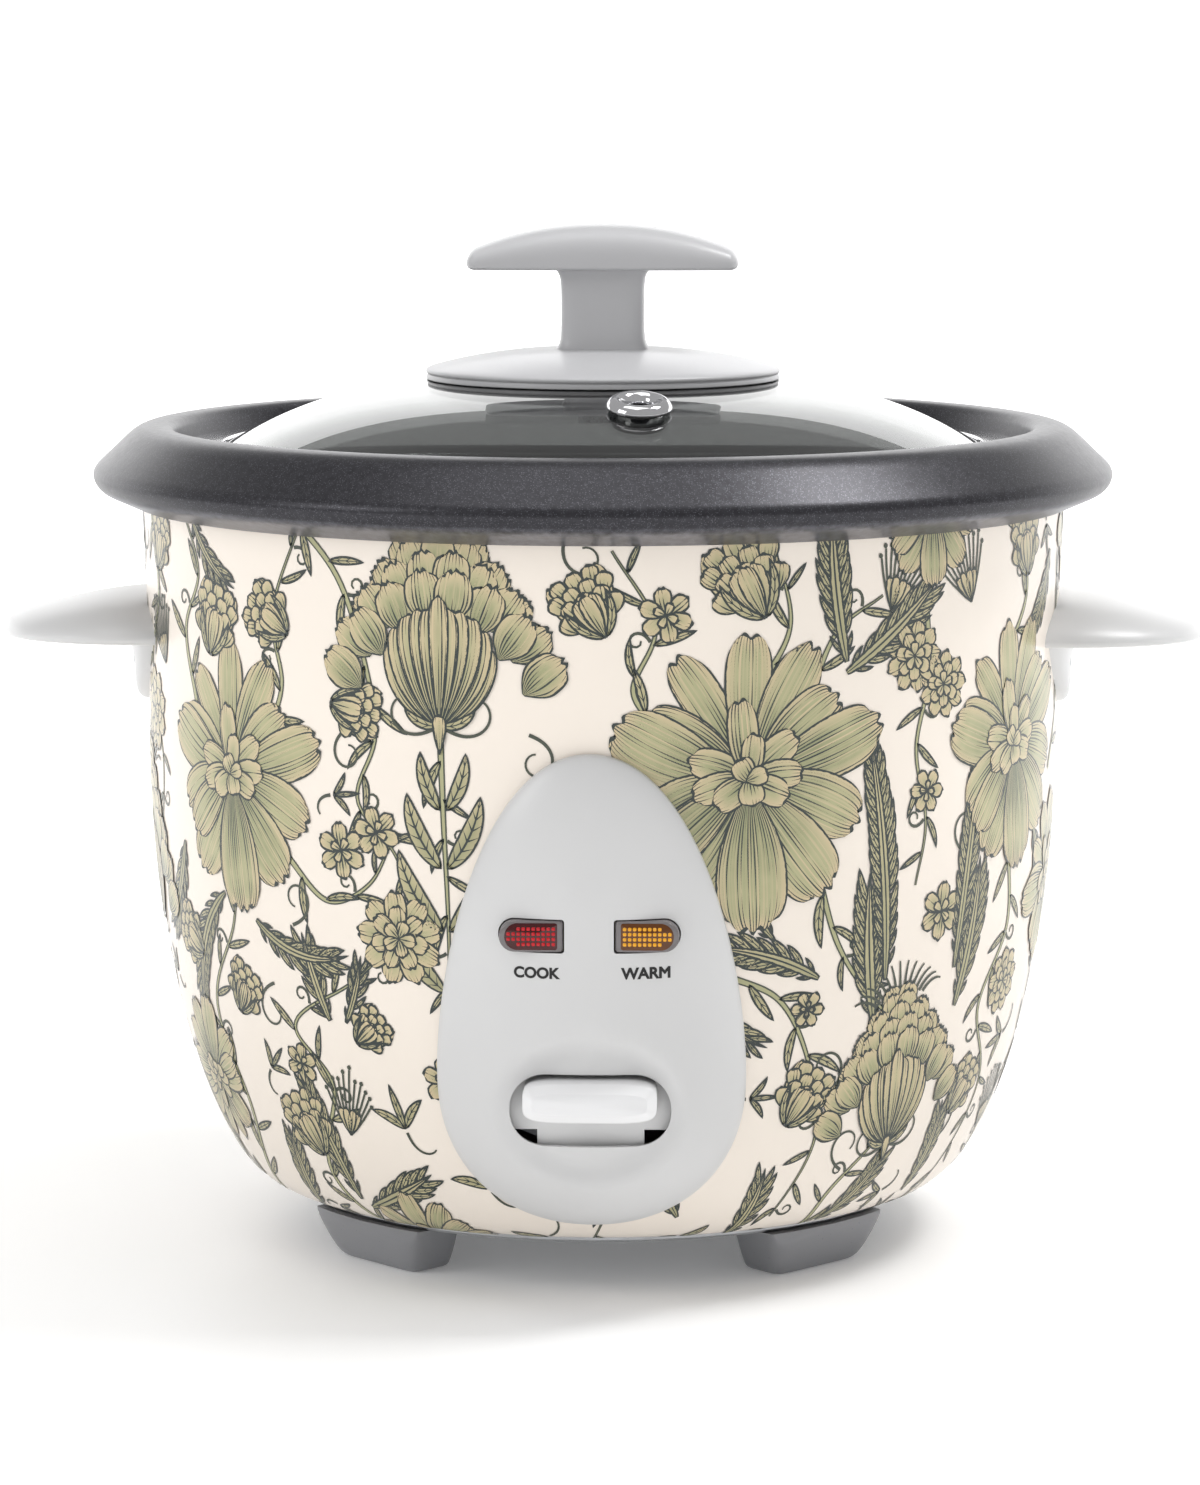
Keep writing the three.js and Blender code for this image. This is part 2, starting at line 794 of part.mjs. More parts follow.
// ---------------------------------------------------------------- control panel
// Half the panel's width, as a share of its widest, at a height h from the waist (up positive).
function eggShare(h) {
  if (h >= 0) return Math.max(0, 1 - (h / panel.upper) ** 1.75) ** 0.47;
  return Math.max(0, 1 - (-h / panel.lower) ** 2.3) ** 0.48;
}

// A point of the egg's outline at an angle from the waist's right end.
function eggPoint(angle) {
  const up = Math.sin(angle);
  const h = up >= 0 ? panel.upper * up : panel.lower * up;
  return [Math.sign(Math.cos(angle)) * panel.halfWidth * eggShare(h), h];
}

// How far the panel stands in front of the drum, at a share s from its middle (0) to its edge (1).
function panelDepthAt(x, z, s) {
  const dome = (1 - s ** 2.4) ** 0.62;
  const fill = panel.belly * (drum.radius - drumRadiusAt(z)) * (1 - s * s);
  const dx = x / slot.dishHalfWidth;
  const dz = (z - slotZ) / slot.dishHalfHeight;
  const away = Math.min(1, dx * dx + dz * dz);
  const dish = slot.dishDepth * (1 - away) ** 1.2 * 1.35;
  return panel.edge + (panel.bulge - panel.edge) * dome + fill - Math.min(dish, slot.dishDepth);
}

function drumFaceAt(x, z, clearance = 0) {
  const r = drumRadiusAt(Math.min(z, drumTop)) + clearance;
  return -Math.sqrt(Math.max(r * r - x * x, 1));
}

const panelShares = [0, 0.16, 0.3, 0.44, 0.58, 0.72, 0.84, 0.93, 1];
const hollowShares = [0.9, 0.74, 0.56, 0.38, 0.2, 0];

// A disc of rings, turned first and then carried onto the egg: front face, edge and hollow back.
function makePanel() {
  const front = panelShares.map((s) => [s, 1]);
  const back = [1, ...hollowShares].map((s) => [s, s === 1 ? 0 : 0.5]);
  const disc = turned([...front, ...back], 36);
  warp(disc, (x, y, level) => {
    const s = Math.min(1, Math.hypot(x, y));
    const [ex, eh] = eggPoint(Math.atan2(y, x));
    const px = ex * s;
    const pz = panelWaist + eh * s;
    const depth = panelDepthAt(px, pz, s);
    if (level > 0.75) return [px, drumFaceAt(px, pz) - depth, pz];
    if (level < 0.25) return [px, drumFaceAt(px, pz) - GAP, pz];
    const hollow = Math.max(GAP, depth - panel.wall);
    return [px, drumFaceAt(px, pz) - hollow, pz];
  });
  const bosses = panelScrewZ.map((z) => {
    const share = z > panelWaist ? (z - panelWaist) / panel.upper : (panelWaist - z) / panel.lower;
    const front = drumFaceAt(0, z) - panelDepthAt(0, z, share) + panel.wall / 2;
    return rodAlongY(3.4, front, drumFaceAt(0, z) + 4, SEGMENTS.small).translate(0, 0, z);
  });
  const whole = solidOf(disc).volume() < 0 ? mirrored(disc) : disc;
  const slotShape = roundedBox(2 * slot.halfWidth, slot.height, slot.corner);
  const slotTool = frontPlate(slotShape, -drum.radius * 1.4, -drum.radius / 2);
  const windows = [-lamp.spread, lamp.spread].map((x) =>
    frontPlate(lensShape(x < 0 ? -1 : 1, GAP), -drum.radius * 1.4, -drum.radius / 2).translate(x, 0, lensZ),
  );
  const taps = panelScrewZ.map((z) =>
    rodAlongY(handle.screwRadius + GAP, drumFaceAt(0, z) - 3.6, drumFaceAt(0, z) + 10).translate(0, 0, z),
  );
  return cut(
    join(whole, ...bosses.map((boss) => cut(boss, drumTool(GAP)))),
    slotTool.translate(0, 0, slotZ),
    ...skirtPlates(lever.travel, 2 * GAP, skirtRadius - 16),
    ...windows,
    ...taps,
  );
}

// The same geometry with every face turned round.
function mirrored(geometry) {
  const index = geometry.index.array;
  for (let i = 0; i < index.length; i += 3) {
    [index[i + 1], index[i + 2]] = [index[i + 2], index[i + 1]];
  }
  return geometry;
}

// A lens outline: square at the inner end and round at the outer end.
function lensShape(side, growth = 0) {
  const radius = lamp.height / 2 + growth;
  const half = lamp.width / 2 + growth;
  const shape = new THREE.Shape();
  if (side > 0) shape.absarc(half - radius, 0, radius, -Math.PI / 2, Math.PI / 2, false);
  else shape.absarc(radius - half, 0, radius, Math.PI / 2, (3 * Math.PI) / 2, false);
  shape.lineTo(-side * half, side * radius);
  shape.lineTo(-side * half, -side * radius);
  shape.closePath();
  return shape;
}

const lensFace = drumFaceAt(0, lensZ) - panelDepthAt(0, lensZ, (lensZ - panelWaist) / panel.upper);
const lensBack = lensFace - lamp.proud + lamp.depth;
const boardFront = lensBack + GAP + lamp.bulbLength + GAP;

add("control_panel", makePanel(), "plastic");

[
  ["cook", -lamp.spread, "redLens"],
  ["warm", lamp.spread, "amberLens"],
].forEach(([name, x, material]) => {
  const lens = add(`${name}_lens`, frontPlate(lensShape(Math.sign(x)), lensFace - lamp.proud, lensBack), material);
  lens.position.set(x, 0, lensZ);
  const bulb = add(`${name}_lamp`, rodAlongY(lamp.bulbRadius, lensBack + GAP, boardFront - GAP), "wire");
  bulb.position.set(x, 0, lensZ);
});

const boardWidth = 2 * lamp.spread + lamp.width - 4;
add(
  "lamp_board",
  cut(
    block(-boardWidth / 2, boardWidth / 2, boardFront, boardFront + lamp.board, lensZ - 4.5, lensZ + 4.5),
    drumTool(GAP),
  ),
  "mica",
);

panelScrewZ.forEach((z, i) => {
  const length = drum.wall + 2.4 + GAP;
  const piece = add(
    `panel_screw_${i + 1}`,
    screw(handle.screwRadius, handle.screwHeadRadius, 1.6, length),
    "steel",
  );
  piece.rotation.x = -Math.PI / 2;
  piece.position.set(0, drumFaceAt(0, z) + drum.wall + GAP + 1.6 + (i === 1 ? 1.6 : 0), z);
});

// ---------------------------------------------------------------- cook lever and its switch
const capFront = dishFace - lever.capReach;

// A curved plate round the lever's pin, between two heights on its outer face.
function curvedPlate(z0, z1, halfWidth, inner, outer) {
  const from = Math.asin((z0 - pinZ) / skirtRadius);
  const to = Math.asin((z1 - pinZ) / skirtRadius);
  const shape = new THREE.Shape();
  shape.absarc(0, 0, outer, from, to, false);
  shape.absarc(0, 0, inner, to, from, true);
  return new THREE.ExtrudeGeometry(shape, { depth: 2 * halfWidth, bevelEnabled: false, curveSegments: 6 })
    .rotateX(Math.PI / 2)
    .rotateZ(-Math.PI / 2)
    .translate(halfWidth, pinY, pinZ);
}

// The skirt's two plates: a wide one behind the cap, and a narrower tongue below it.
function skirtPlates(drop, growth, inner) {
  const outer = skirtRadius + growth;
  const tongueHalf = lever.tongueHalfWidth + growth;
  return [
    curvedPlate(tongueZ - drop - growth, skirtTop + growth, lever.skirtHalfWidth + growth, inner, outer),
    curvedPlate(tongueBottom - drop - growth, tongueZ + 2, tongueHalf, inner, outer),
  ];
}

// The cap: a rounded bar that shows in the slot, and a curved skirt round the pin that hides the slot.
function makeLeverCap() {
  const bar = new THREE.ExtrudeGeometry(roundedBox(lever.capWidth - 2, lever.capHeight - 2, lever.capCorner - 1), {
    depth: skirtFace - capFront,
    bevelThickness: 1,
    bevelSize: 1,
    bevelSegments: 2,
    curveSegments: 4,
  })
    .rotateX(Math.PI / 2)
    .translate(0, skirtFace + 1, capZ);
  const behind = skirtFace + lever.skirtThickness;
  const socketHalf = lever.armWidth / 2 + 1.6;
  const socket = block(-socketHalf, socketHalf, behind - 1, behind + 7, socketZ - 2.4, socketZ + 2.4);
  const arm = block(
    -lever.armWidth / 2 - GAP,
    lever.armWidth / 2 + GAP,
    behind + 0.4,
    behind + 20,
    socketZ - lever.armThickness / 2 - GAP,
    socketZ + lever.armThickness / 2 + GAP,
  );
  const plates = skirtPlates(0, 0, skirtRadius - lever.skirtThickness);
  const linerRoom = rod(linerOuter + 2 * GAP, linerFloor - liner.wall - 2 * GAP, drumTop, SEGMENTS.large);
  return cut(join(bar, socket, ...plates), arm, linerRoom);
}

const armFront = skirtFace + lever.skirtThickness + 0.8;
const riserY = armFront + 10.5; // where the arm steps between the cap's height and the fork's
const bracketEar = { inner: lever.armWidth / 2 + 0.9, thickness: 1.2 };

function makeLeverArm() {
  const half = lever.armWidth / 2;
  const thin = lever.armThickness / 2;
  const front = block(-half, half, armFront, riserY, socketZ - thin, socketZ + thin);
  const riserFoot = Math.min(armZ, socketZ) - thin;
  const riserHead = Math.max(armZ, socketZ) + thin;
  const riser = block(-half, half, riserY - 2 * thin, riserY, riserFoot, riserHead);
  const strip = block(-half, half, riserY - 2 * thin, 6.5, forkBottom, forkTop);
  const forkSlot = block(-sensor.rodRadius - 0.7, sensor.rodRadius + 0.7, -3.2, 20, forkBottom - 5, forkTop + 5);
  const ears = [-1, 1].map((side) => {
    const outer = side * (lever.armWidth / 2);
    const inner = side * (lever.armWidth / 2 - 1.2);
    return block(Math.min(inner, outer), Math.max(inner, outer), pinY - 3.4, pinY + 3.4, forkBottom, pinZ + 3.4);
  });
  const pinHole = new THREE.CylinderGeometry(lever.pinRadius + GAP, lever.pinRadius + GAP, 60, SEGMENTS.small)
    .rotateZ(Math.PI / 2)
    .translate(0, pinY, pinZ);
  return cut(join(strip, front, riser, ...ears), forkSlot, pinHole);
}

// The bracket hangs from the liner's floor: a top plate and two cheeks that hold the pin and the switch.
const plungerY = pinY - lever.switchReach;
const switchTop = forkBottom - lever.plungerHeight;
const switchBody = { front: plungerY - 8, back: plungerY + 7, top: switchTop, bottom: switchTop - lever.switchHeight };
const cheek = {
  front: switchBody.front - 1,
  back: pinY + 6,
  top: linerFloor - liner.wall - GAP,
  bottom: switchBody.bottom + 1.5,
};

function makeLeverBracket() {
  const outline = new THREE.Shape();
  outline.moveTo(cheek.back, cheek.top);
  outline.lineTo(cheek.back - 14, cheek.top);
  outline.lineTo(cheek.back - 14, pinZ);
  outline.lineTo(cheek.front, switchBody.top + 3);
  outline.lineTo(cheek.front, cheek.bottom);
  outline.lineTo(switchBody.back + 1, cheek.bottom);
  outline.lineTo(cheek.back, pinZ - 4);
  outline.closePath();
  const cheeks = [-1, 1].map((side) => {
    const plate = new THREE.ExtrudeGeometry(outline, { depth: bracketEar.thickness, bevelEnabled: false })
      .rotateX(Math.PI / 2)
      .rotateZ(Math.PI / 2);
    plate.computeBoundingBox();
    const x = side > 0 ? bracketEar.inner : -bracketEar.inner - bracketEar.thickness;
    return plate.translate(x - plate.boundingBox.min.x, 0, 0);
  });
  const half = bracketEar.inner + bracketEar.thickness;
  const topPlate = block(-half - 4, half + 4, cheek.back - 14, cheek.back, cheek.top - 1.2, cheek.top);
  const pinHole = new THREE.CylinderGeometry(lever.pinRadius + GAP, lever.pinRadius + GAP, 60, SEGMENTS.small)
    .rotateZ(Math.PI / 2)
    .translate(0, pinY, pinZ);
  return cut(join(topPlate, ...cheeks), pinHole);
}

const pinHalf = bracketEar.inner + bracketEar.thickness + 1.2;
const leverPin = new THREE.CylinderGeometry(lever.pinRadius, lever.pinRadius, 2 * pinHalf, SEGMENTS.small)
  .rotateZ(Math.PI / 2)
  .translate(0, pinY, pinZ);

function makeSwitchBody() {
  const half = bracketEar.inner - GAP;
  const body = block(-half, half, switchBody.front, switchBody.back, switchBody.bottom, switchBody.top);
  return cut(body, block(-3.3, 3.3, plungerY - 2.3, plungerY + 2.3, switchBody.top - 5, switchBody.top + 1));
}

add("lever_arm", makeLeverArm(), "sheetSteel");
add("lever_cap", makeLeverCap(), "plastic");
add("lever_pin", leverPin, "steel");
add("lever_bracket", makeLeverBracket(), "sheetSteel");
add("switch_body", makeSwitchBody(), "blackPlastic");
add(
  "switch_plunger",
  block(-3, 3, plungerY - 2, plungerY + 2, switchBody.top - 2.6, forkBottom - GAP - 0.1),
  "brass",
);

// ---------------------------------------------------------------- side handles
// A handle seen from above is half a super-ellipse; its top falls from the root to a thin edge.
function makeHandle() {
  const rings = [0, 0.2, 0.4, 0.58, 0.74, 0.87, 0.96, 1];
  const profile = [...rings.map((s) => [s, 1]), ...[1, 0.96].map((s) => [s, 0]), [0, 0]];
  const wing = turned(profile, 32);
  warp(wing, (x, y, level) => {
    const s = Math.min(1, Math.hypot(x, y));
    const angle = Math.atan2(y, x);
    const out = Math.sign(Math.cos(angle)) * Math.abs(Math.cos(angle)) ** 0.85;
    const px = (out > 0 ? handle.reach + 5 : 14) * out * s;
    const py = handle.halfWidth * Math.sin(angle) * s;
    const fall = Math.min(1, s) ** 1.35;
    const round = level > 0.5 && s > 0.99 ? 1.2 : 0;
    const top = handle.edge + (handle.rise - handle.edge) * (1 - fall) - round;
    return [px, py, level > 0.5 ? top : s > 0.97 ? 0.9 : 0];
  });
  const whole = solidOf(wing).volume() < 0 ? mirrored(wing) : wing;
  const root = drum.radius - 5;
  const placed = whole.translate(root, 0, handleZ);
  const outline = new THREE.Shape();
  outline.moveTo(-handle.halfWidth + 2, 3);
  outline.quadraticCurveTo(-handle.halfWidth * 0.6, -handle.shield * 0.75, 0, -handle.shield);
  outline.quadraticCurveTo(handle.halfWidth * 0.6, -handle.shield * 0.75, handle.halfWidth - 2, 3);
  outline.closePath();
  const shield = new THREE.ExtrudeGeometry(outline, {
    depth: drum.radius + handle.shieldDepth,
    bevelEnabled: false,
    curveSegments: 8,
  })
    .rotateX(Math.PI / 2)
    .rotateZ(Math.PI / 2)
    .translate(0, 0, handleZ);
  const shieldRound = turned(
    [
      [0, handleZ - 40],
      [drum.radius + handle.shieldDepth, handleZ - 40],
      [drum.radius + handle.shieldDepth, handleZ + 40],
      [0, handleZ + 40],
    ],
    SEGMENTS.large,
  );
  const taps = [-0.5, 0.5].map((y) =>
    rodAlongY(handle.screwRadius + GAP, 0, drum.radius + 6)
      .rotateZ(-Math.PI / 2)
      .translate(0, y * handle.screwSpacing, handleScrewZ),
  );
  return cut(join(placed, common(shield, shieldRound)), drumTool(GAP), ...taps);
}

[
  ["left", Math.PI],
  ["right", 0],
].forEach(([name, turn]) => {
  const station = new THREE.Group();
  station.rotation.z = turn;
  cooker.add(station);
  add(`handle_${name}`, makeHandle(), "plastic", station);
  [-0.5, 0.5].forEach((y, i) => {
    const across = y * handle.screwSpacing;
    const face = Math.sqrt(drumRadiusAt(handleScrewZ) ** 2 - across ** 2);
    const head = face - drum.wall - GAP - 0.3;
    const piece = add(
      `handle_screw_${name}_${i + 1}`,
      screw(handle.screwRadius, handle.screwHeadRadius, 1.5, drum.wall + 3.4),
      "steel",
      station,
    );
    piece.rotation.y = -Math.PI / 2;
    piece.position.set(head - 1.5, across, handleScrewZ);
  });
});

// ---------------------------------------------------------------- power inlet at the back
const inletFace = drumRadiusAt(inletZ) + inlet.proud;
const inletBack = inletFace - inlet.cavityDepth - inlet.back;

function makeInlet() {
  const body = frontPlate(roundedBox(inlet.width, inlet.height, 3), inletBack, inletFace, 4);
  const rim = frontPlate(
    roundedBox(inlet.width + 2 * inlet.flange, inlet.height + 2 * inlet.flange, 5),
    inletFace - 14,
    inletFace,
    4,
  ).translate(0, 0, inletZ);
  const cavity = frontPlate(
    roundedBox(inlet.cavityWidth, inlet.cavityHeight, 2.5),
    inletFace - inlet.cavityDepth,
    inletFace + 5,
    4,
  ).translate(0, 0, inletZ);
  const pins = inletPins.map(([x, z]) =>
    block(x - 1 - GAP, x + 1 + GAP, inletBack - 5, inletFace, z - 2 - GAP, z + 2 + GAP).translate(0, 0, inletZ),
  );
  return cut(join(body.translate(0, 0, inletZ), cut(rim, drumTool(GAP))), cavity, ...pins);
}

const inletPins = [
  [-7, -1.6],
  [7, -1.6],
  [0, 2.4],
];

add("inlet_socket", makeInlet(), "blackPlastic");
inletPins.forEach(([x, z], i) => {
  const pin = block(
    x - 1,
    x + 1,
    inletBack - 4,
    inletFace - inlet.cavityDepth + inlet.pinLength,
    z - 2,
    z + 2,
  );
  add(`inlet_pin_${["live", "neutral", "earth"][i]}`, pin, "brass").position.z = inletZ;
});

// ---------------------------------------------------------------- cooking pot
function makePot() {
  const corner = pot.cornerRadius;
  const slopeEnd = [lipRadius - 1.6, lipTop - pot.lipFall + 1.9];
  const curlEnd = [drum.radius + pot.curlClearance, lipTop - pot.lipFall - pot.curlDrop];
  const line = [
    [0, potBottom + pot.wall],
    [potInner - corner, potBottom + pot.wall],
    ...arc(potInner - corner, potBottom + pot.wall + corner, corner, -90, 0, 3),
    [potInner, seatZ - 1],
    [potInner + 1, seatZ],
    [seatOuter, seatZ],
    [seatOuter + 1.7, lipTop - 1.6],
    [seatOuter + 3 + pot.lipTopWidth / 2, lipTop],
    [seatOuter + 2.6 + pot.lipTopWidth, lipTop - 0.8],
    slopeEnd,
    [lipRadius, lipTop - pot.lipFall],
    [lipRadius - 0.9, lipTop - pot.lipFall - 2],
    [lipRadius - 4, lipTop - pot.lipFall - pot.curlDrop + 1.9],
    curlEnd,
  ];
  return turned(sheetProfile(line, -pot.wall), SEGMENTS.large);
}

add("cooking_pot", makePot(), "coating");

// ---------------------------------------------------------------- glass lid and knob
const lidGroup = new THREE.Group();
cooker.add(lidGroup);

const knobHole = knob.screwRadius + 1;
const ventAngle = THREE.MathUtils.degToRad(-90 + lid.ventTurn);
const ventSlope = Math.atan(
  (lid.rise * lid.roundness * lid.ventReach ** (lid.roundness - 1)) / domeRadius ** lid.roundness,
);
const ventCentreZ = glassHeightAt(lid.ventReach) - lid.glass / 2;
const ventPlace = new THREE.Matrix4()
  .makeTranslation(
    lid.ventReach * Math.cos(ventAngle),
    lid.ventReach * Math.sin(ventAngle),
    ventCentreZ,
  )
  .multiply(new THREE.Matrix4().makeRotationZ(ventAngle))
  .multiply(new THREE.Matrix4().makeRotationY(ventSlope));

function makeGlass() {
  const radii = [0, 0.36, 0.56, 0.7, 0.82, 0.92, 1].map((s) => s * domeRadius);
  const top = [...radii.map((r) => [r, glassHeightAt(r)]), [glassRadius, glassEdgeTop]];
  const under = top.map(([r, z]) => [r, z - lid.glass]).reverse();
  const ventHole = rod(lid.ventRadius + 1.2 + GAP, -20, 20, SEGMENTS.small).applyMatrix4(ventPlace);
  const centreHole = rod(knobHole, glassTop - 20, glassTop + 20, SEGMENTS.small);
  return cut(turned([...top, ...under], SEGMENTS.large), ventHole, centreHole);
}

function makeBand() {
  const wall = lid.bandWall;
  return turned(
    [
      [domeRadius, bandTop],
      [bandOuter - 0.5, bandTop],
      [bandOuter, bandTop - 0.5],
      [bandOuter, bandBottom],
      [skirtOuter, bandBottom],
      [skirtOuter, skirtBottom],
      [glassRadius - 2, skirtBottom],
      [glassRadius - 2, skirtBottom + wall],
      [skirtOuter - wall, skirtBottom + wall],
      [skirtOuter - wall, bandTop - wall],
      [domeRadius, bandTop - wall],
    ],
    SEGMENTS.large,
  );
}

function makeVent() {
  const half = lid.glass / 2;
  const bore = lid.ventRadius;
  const barrel = bore + 1.2;
  const outer = lid.ventOuter;
  return turned(
    [
      [bore, -half - 1.4],
      [outer - 1.5, -half - 1.4],
      [outer - 1.5, -half - 0.6],
      [barrel, -half - 0.6],
      [barrel, half + 0.7],
      [outer - 0.6, half + 0.7],
      [outer, half + 1.5],
      [outer - 0.7, half + 2.5],
      [outer - 2.2, half + 2.9],
      [bore + 1, half + 2.3],
      [bore, half + 1.2],
    ],
    SEGMENTS.small,
  ).applyMatrix4(ventPlace);
}

const baseBottom = glassHeightAt(knob.baseRadius - 3) + GAP;
const baseTop = glassTop + knob.baseRise;

function makeKnobBase() {
  const radii = [0, 0.3, 0.6, 0.85];
  const top = [
    ...radii.map((s) => [s * knob.baseRadius, baseTop - (baseTop - baseBottom - knob.baseEdge) * s ** 2.6]),
    [knob.baseRadius - 0.8, baseBottom + knob.baseEdge - 0.3],
    [knob.baseRadius, baseBottom + 1.2],
    [knob.baseRadius - 0.6, baseBottom],
  ];
  const under = [0.88, 0.6, 0.3, 0].map((s) => [
    s * knob.baseRadius,
    glassHeightAt(s * knob.baseRadius) + GAP,
  ]);
  return cut(turned([...top, ...under], 40), rod(knobHole, glassTop - 5, baseTop + 5, SEGMENTS.small));
}

const barBottom = baseTop + knob.stemHeight;
const barTop = barBottom + knob.barRise;

// The grip: an upright stem and a bar whose top bows up, one moulding.
function makeGrip() {
  const stem = new THREE.ExtrudeGeometry(roundedBox(knob.stemWidth, knob.stemDepth, 3), {
    depth: knob.stemHeight + 1,
    bevelEnabled: false,
    curveSegments: 4,
  }).translate(0, 0, baseTop + GAP);
  const half = knob.barWidth / 2;
  const outline = new THREE.Shape();
  outline.moveTo(-half + 1, 0);
  outline.lineTo(half - 1, 0);
  outline.quadraticCurveTo(half, 0, half, 1.2);
  outline.quadraticCurveTo(half, knob.barEdge - 1, half - 2.4, knob.barEdge);
  outline.bezierCurveTo(half * 0.62, knob.barEdge + 1.6, half * 0.42, knob.barRise, 0, knob.barRise);
  outline.bezierCurveTo(-half * 0.42, knob.barRise, -half * 0.62, knob.barEdge + 1.6, -half + 2.4, knob.barEdge);
  outline.quadraticCurveTo(-half, knob.barEdge - 1, -half, 1.2);
  outline.quadraticCurveTo(-half, 0, -half + 1, 0);
  const side = frontPlate(outline, -knob.barDepth / 2, knob.barDepth / 2, 6).translate(0, 0, barBottom);
  const plan = new THREE.ExtrudeGeometry(roundedBox(knob.barWidth, knob.barDepth, 4), {
    depth: knob.barRise + 2,
    bevelEnabled: false,
    curveSegments: 4,
  }).translate(0, 0, barBottom - 1);
  const bar = common(side, plan);
  const tap = rod(knob.screwRadius + GAP, baseTop - 5, baseTop + 11);
  return cut(join(bar, stem), tap);
}

const gasketTop = glassTop - lid.glass - GAP;
add("lid_glass", makeGlass(), "glass", lidGroup);
add("lid_band", makeBand(), "steel", lidGroup);
add("vent_eyelet", makeVent(), "steel", lidGroup);
add("knob_base", makeKnobBase(), "plastic", lidGroup);
add("knob_grip", makeGrip(), "plastic", lidGroup);
add(
  "knob_gasket",
  turned([
    [knobHole, gasketTop],
    [8, gasketTop],
    [8, gasketTop - 1.2],
    [knobHole, gasketTop - 1.2],
  ]),
  "silicone",
  lidGroup,
);
const knobScrew = add(
  "knob_screw",
  screw(knob.screwRadius, 5, 2, baseTop + 9 - gasketTop + 1.2),
  "steel",
  lidGroup,
);
knobScrew.rotation.x = Math.PI;
knobScrew.position.z = gasketTop - 1.2 - GAP - 2;

export default cooker;
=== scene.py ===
"""A small drum rice cooker with a botanical print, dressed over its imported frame.

Sizes are in millimetres inside the classes and become metres where a mesh is made.
The front, with the control panel, faces -Y, and +Z is up.
"""

import logging
import math
from collections.abc import Callable, Sequence
from dataclasses import dataclass, field
from enum import Enum
from typing import Any

import bmesh
import bpy
import numpy as np
from mathutils import Matrix, Vector


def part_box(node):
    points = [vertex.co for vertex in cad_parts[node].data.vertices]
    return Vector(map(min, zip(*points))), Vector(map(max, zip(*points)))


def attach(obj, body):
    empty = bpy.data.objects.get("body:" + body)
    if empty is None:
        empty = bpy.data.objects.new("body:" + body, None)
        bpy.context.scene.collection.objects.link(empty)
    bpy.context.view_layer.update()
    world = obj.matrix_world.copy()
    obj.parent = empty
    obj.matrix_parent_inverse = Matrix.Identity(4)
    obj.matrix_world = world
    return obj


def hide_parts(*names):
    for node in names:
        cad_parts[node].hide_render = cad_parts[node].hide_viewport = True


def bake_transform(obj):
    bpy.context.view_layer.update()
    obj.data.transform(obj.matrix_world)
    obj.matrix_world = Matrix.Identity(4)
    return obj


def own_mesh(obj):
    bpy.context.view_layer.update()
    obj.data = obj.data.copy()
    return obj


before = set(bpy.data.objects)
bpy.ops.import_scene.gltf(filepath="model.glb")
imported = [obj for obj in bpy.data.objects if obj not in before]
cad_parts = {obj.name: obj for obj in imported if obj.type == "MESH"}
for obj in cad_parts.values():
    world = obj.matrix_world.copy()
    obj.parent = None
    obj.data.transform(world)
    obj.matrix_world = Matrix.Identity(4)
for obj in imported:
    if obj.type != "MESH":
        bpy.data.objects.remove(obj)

logging.basicConfig(level=logging.INFO, format="%(message)s")
log = logging.getLogger("rice_cooker")

MM = 0.001
TURN = 2.0 * math.pi
Array = np.ndarray
Skin = tuple[np.ndarray, np.ndarray]
Material = bpy.types.Material
Piece = bpy.types.Object
Socket = bpy.types.NodeSocket


# ---------------------------------------------------------------- meshes
def grid_faces(rows: int, columns: int, wrap: bool = False) -> Array:
    """Quads between neighbouring points of a grid stored row by row.

    Args:
        rows: Number of rows.
        columns: Number of points in a row.
        wrap: Whether the last column joins the first.

    Returns:
        An array of four indices for each quad.
    """
    row = np.arange(rows - 1)[:, None] * columns
    column = np.arange(columns if wrap else columns - 1)[None, :]
    after = (column + 1) % columns
    quads = np.stack([row + column, row + after, row + columns + after, row + columns + column], -1)
    return quads.reshape(-1, 4)


def mesh_object(name: str, points: Array, faces: Array, material: Material,
                closed: bool = True, crease: float = 40.0) -> Piece:
    """Makes an object from points in millimetres.

    Args:
        name: The object's name.
        points: Points, one row each.
        faces: Indices of each face's corners.
        material: The finish.
        closed: Whether doubles are merged and the normals made to point outwards.
        crease: Edges sharper than this angle in degrees stay sharp.

    Returns:
        The new object, linked to the scene.
    """
    mesh = bpy.data.meshes.new(name)
    mesh.from_pydata((np.asarray(points).reshape(-1, 3) * MM).tolist(), [], np.asarray(faces).tolist())
    if closed:
        work = bmesh.new()
        work.from_mesh(mesh)
        bmesh.ops.remove_doubles(work, verts=work.verts, dist=2e-6)
        bmesh.ops.dissolve_degenerate(work, edges=work.edges, dist=1e-7)
        bmesh.ops.recalc_face_normals(work, faces=work.faces)
        work.to_mesh(mesh)
        work.free()
    mesh.polygons.foreach_set("use_smooth", np.ones(len(mesh.polygons), bool))
    mesh.set_sharp_from_angle(angle=math.radians(crease))
    mesh.materials.append(material)
    piece = bpy.data.objects.new(name, mesh)
    bpy.context.scene.collection.objects.link(piece)
    return piece


def grid_points(x: Any, y: Any, z: Any) -> Array:
    """Coordinates brought to one shape and put side by side as points."""
    return np.stack(np.broadcast_arrays(x, y, z), -1)


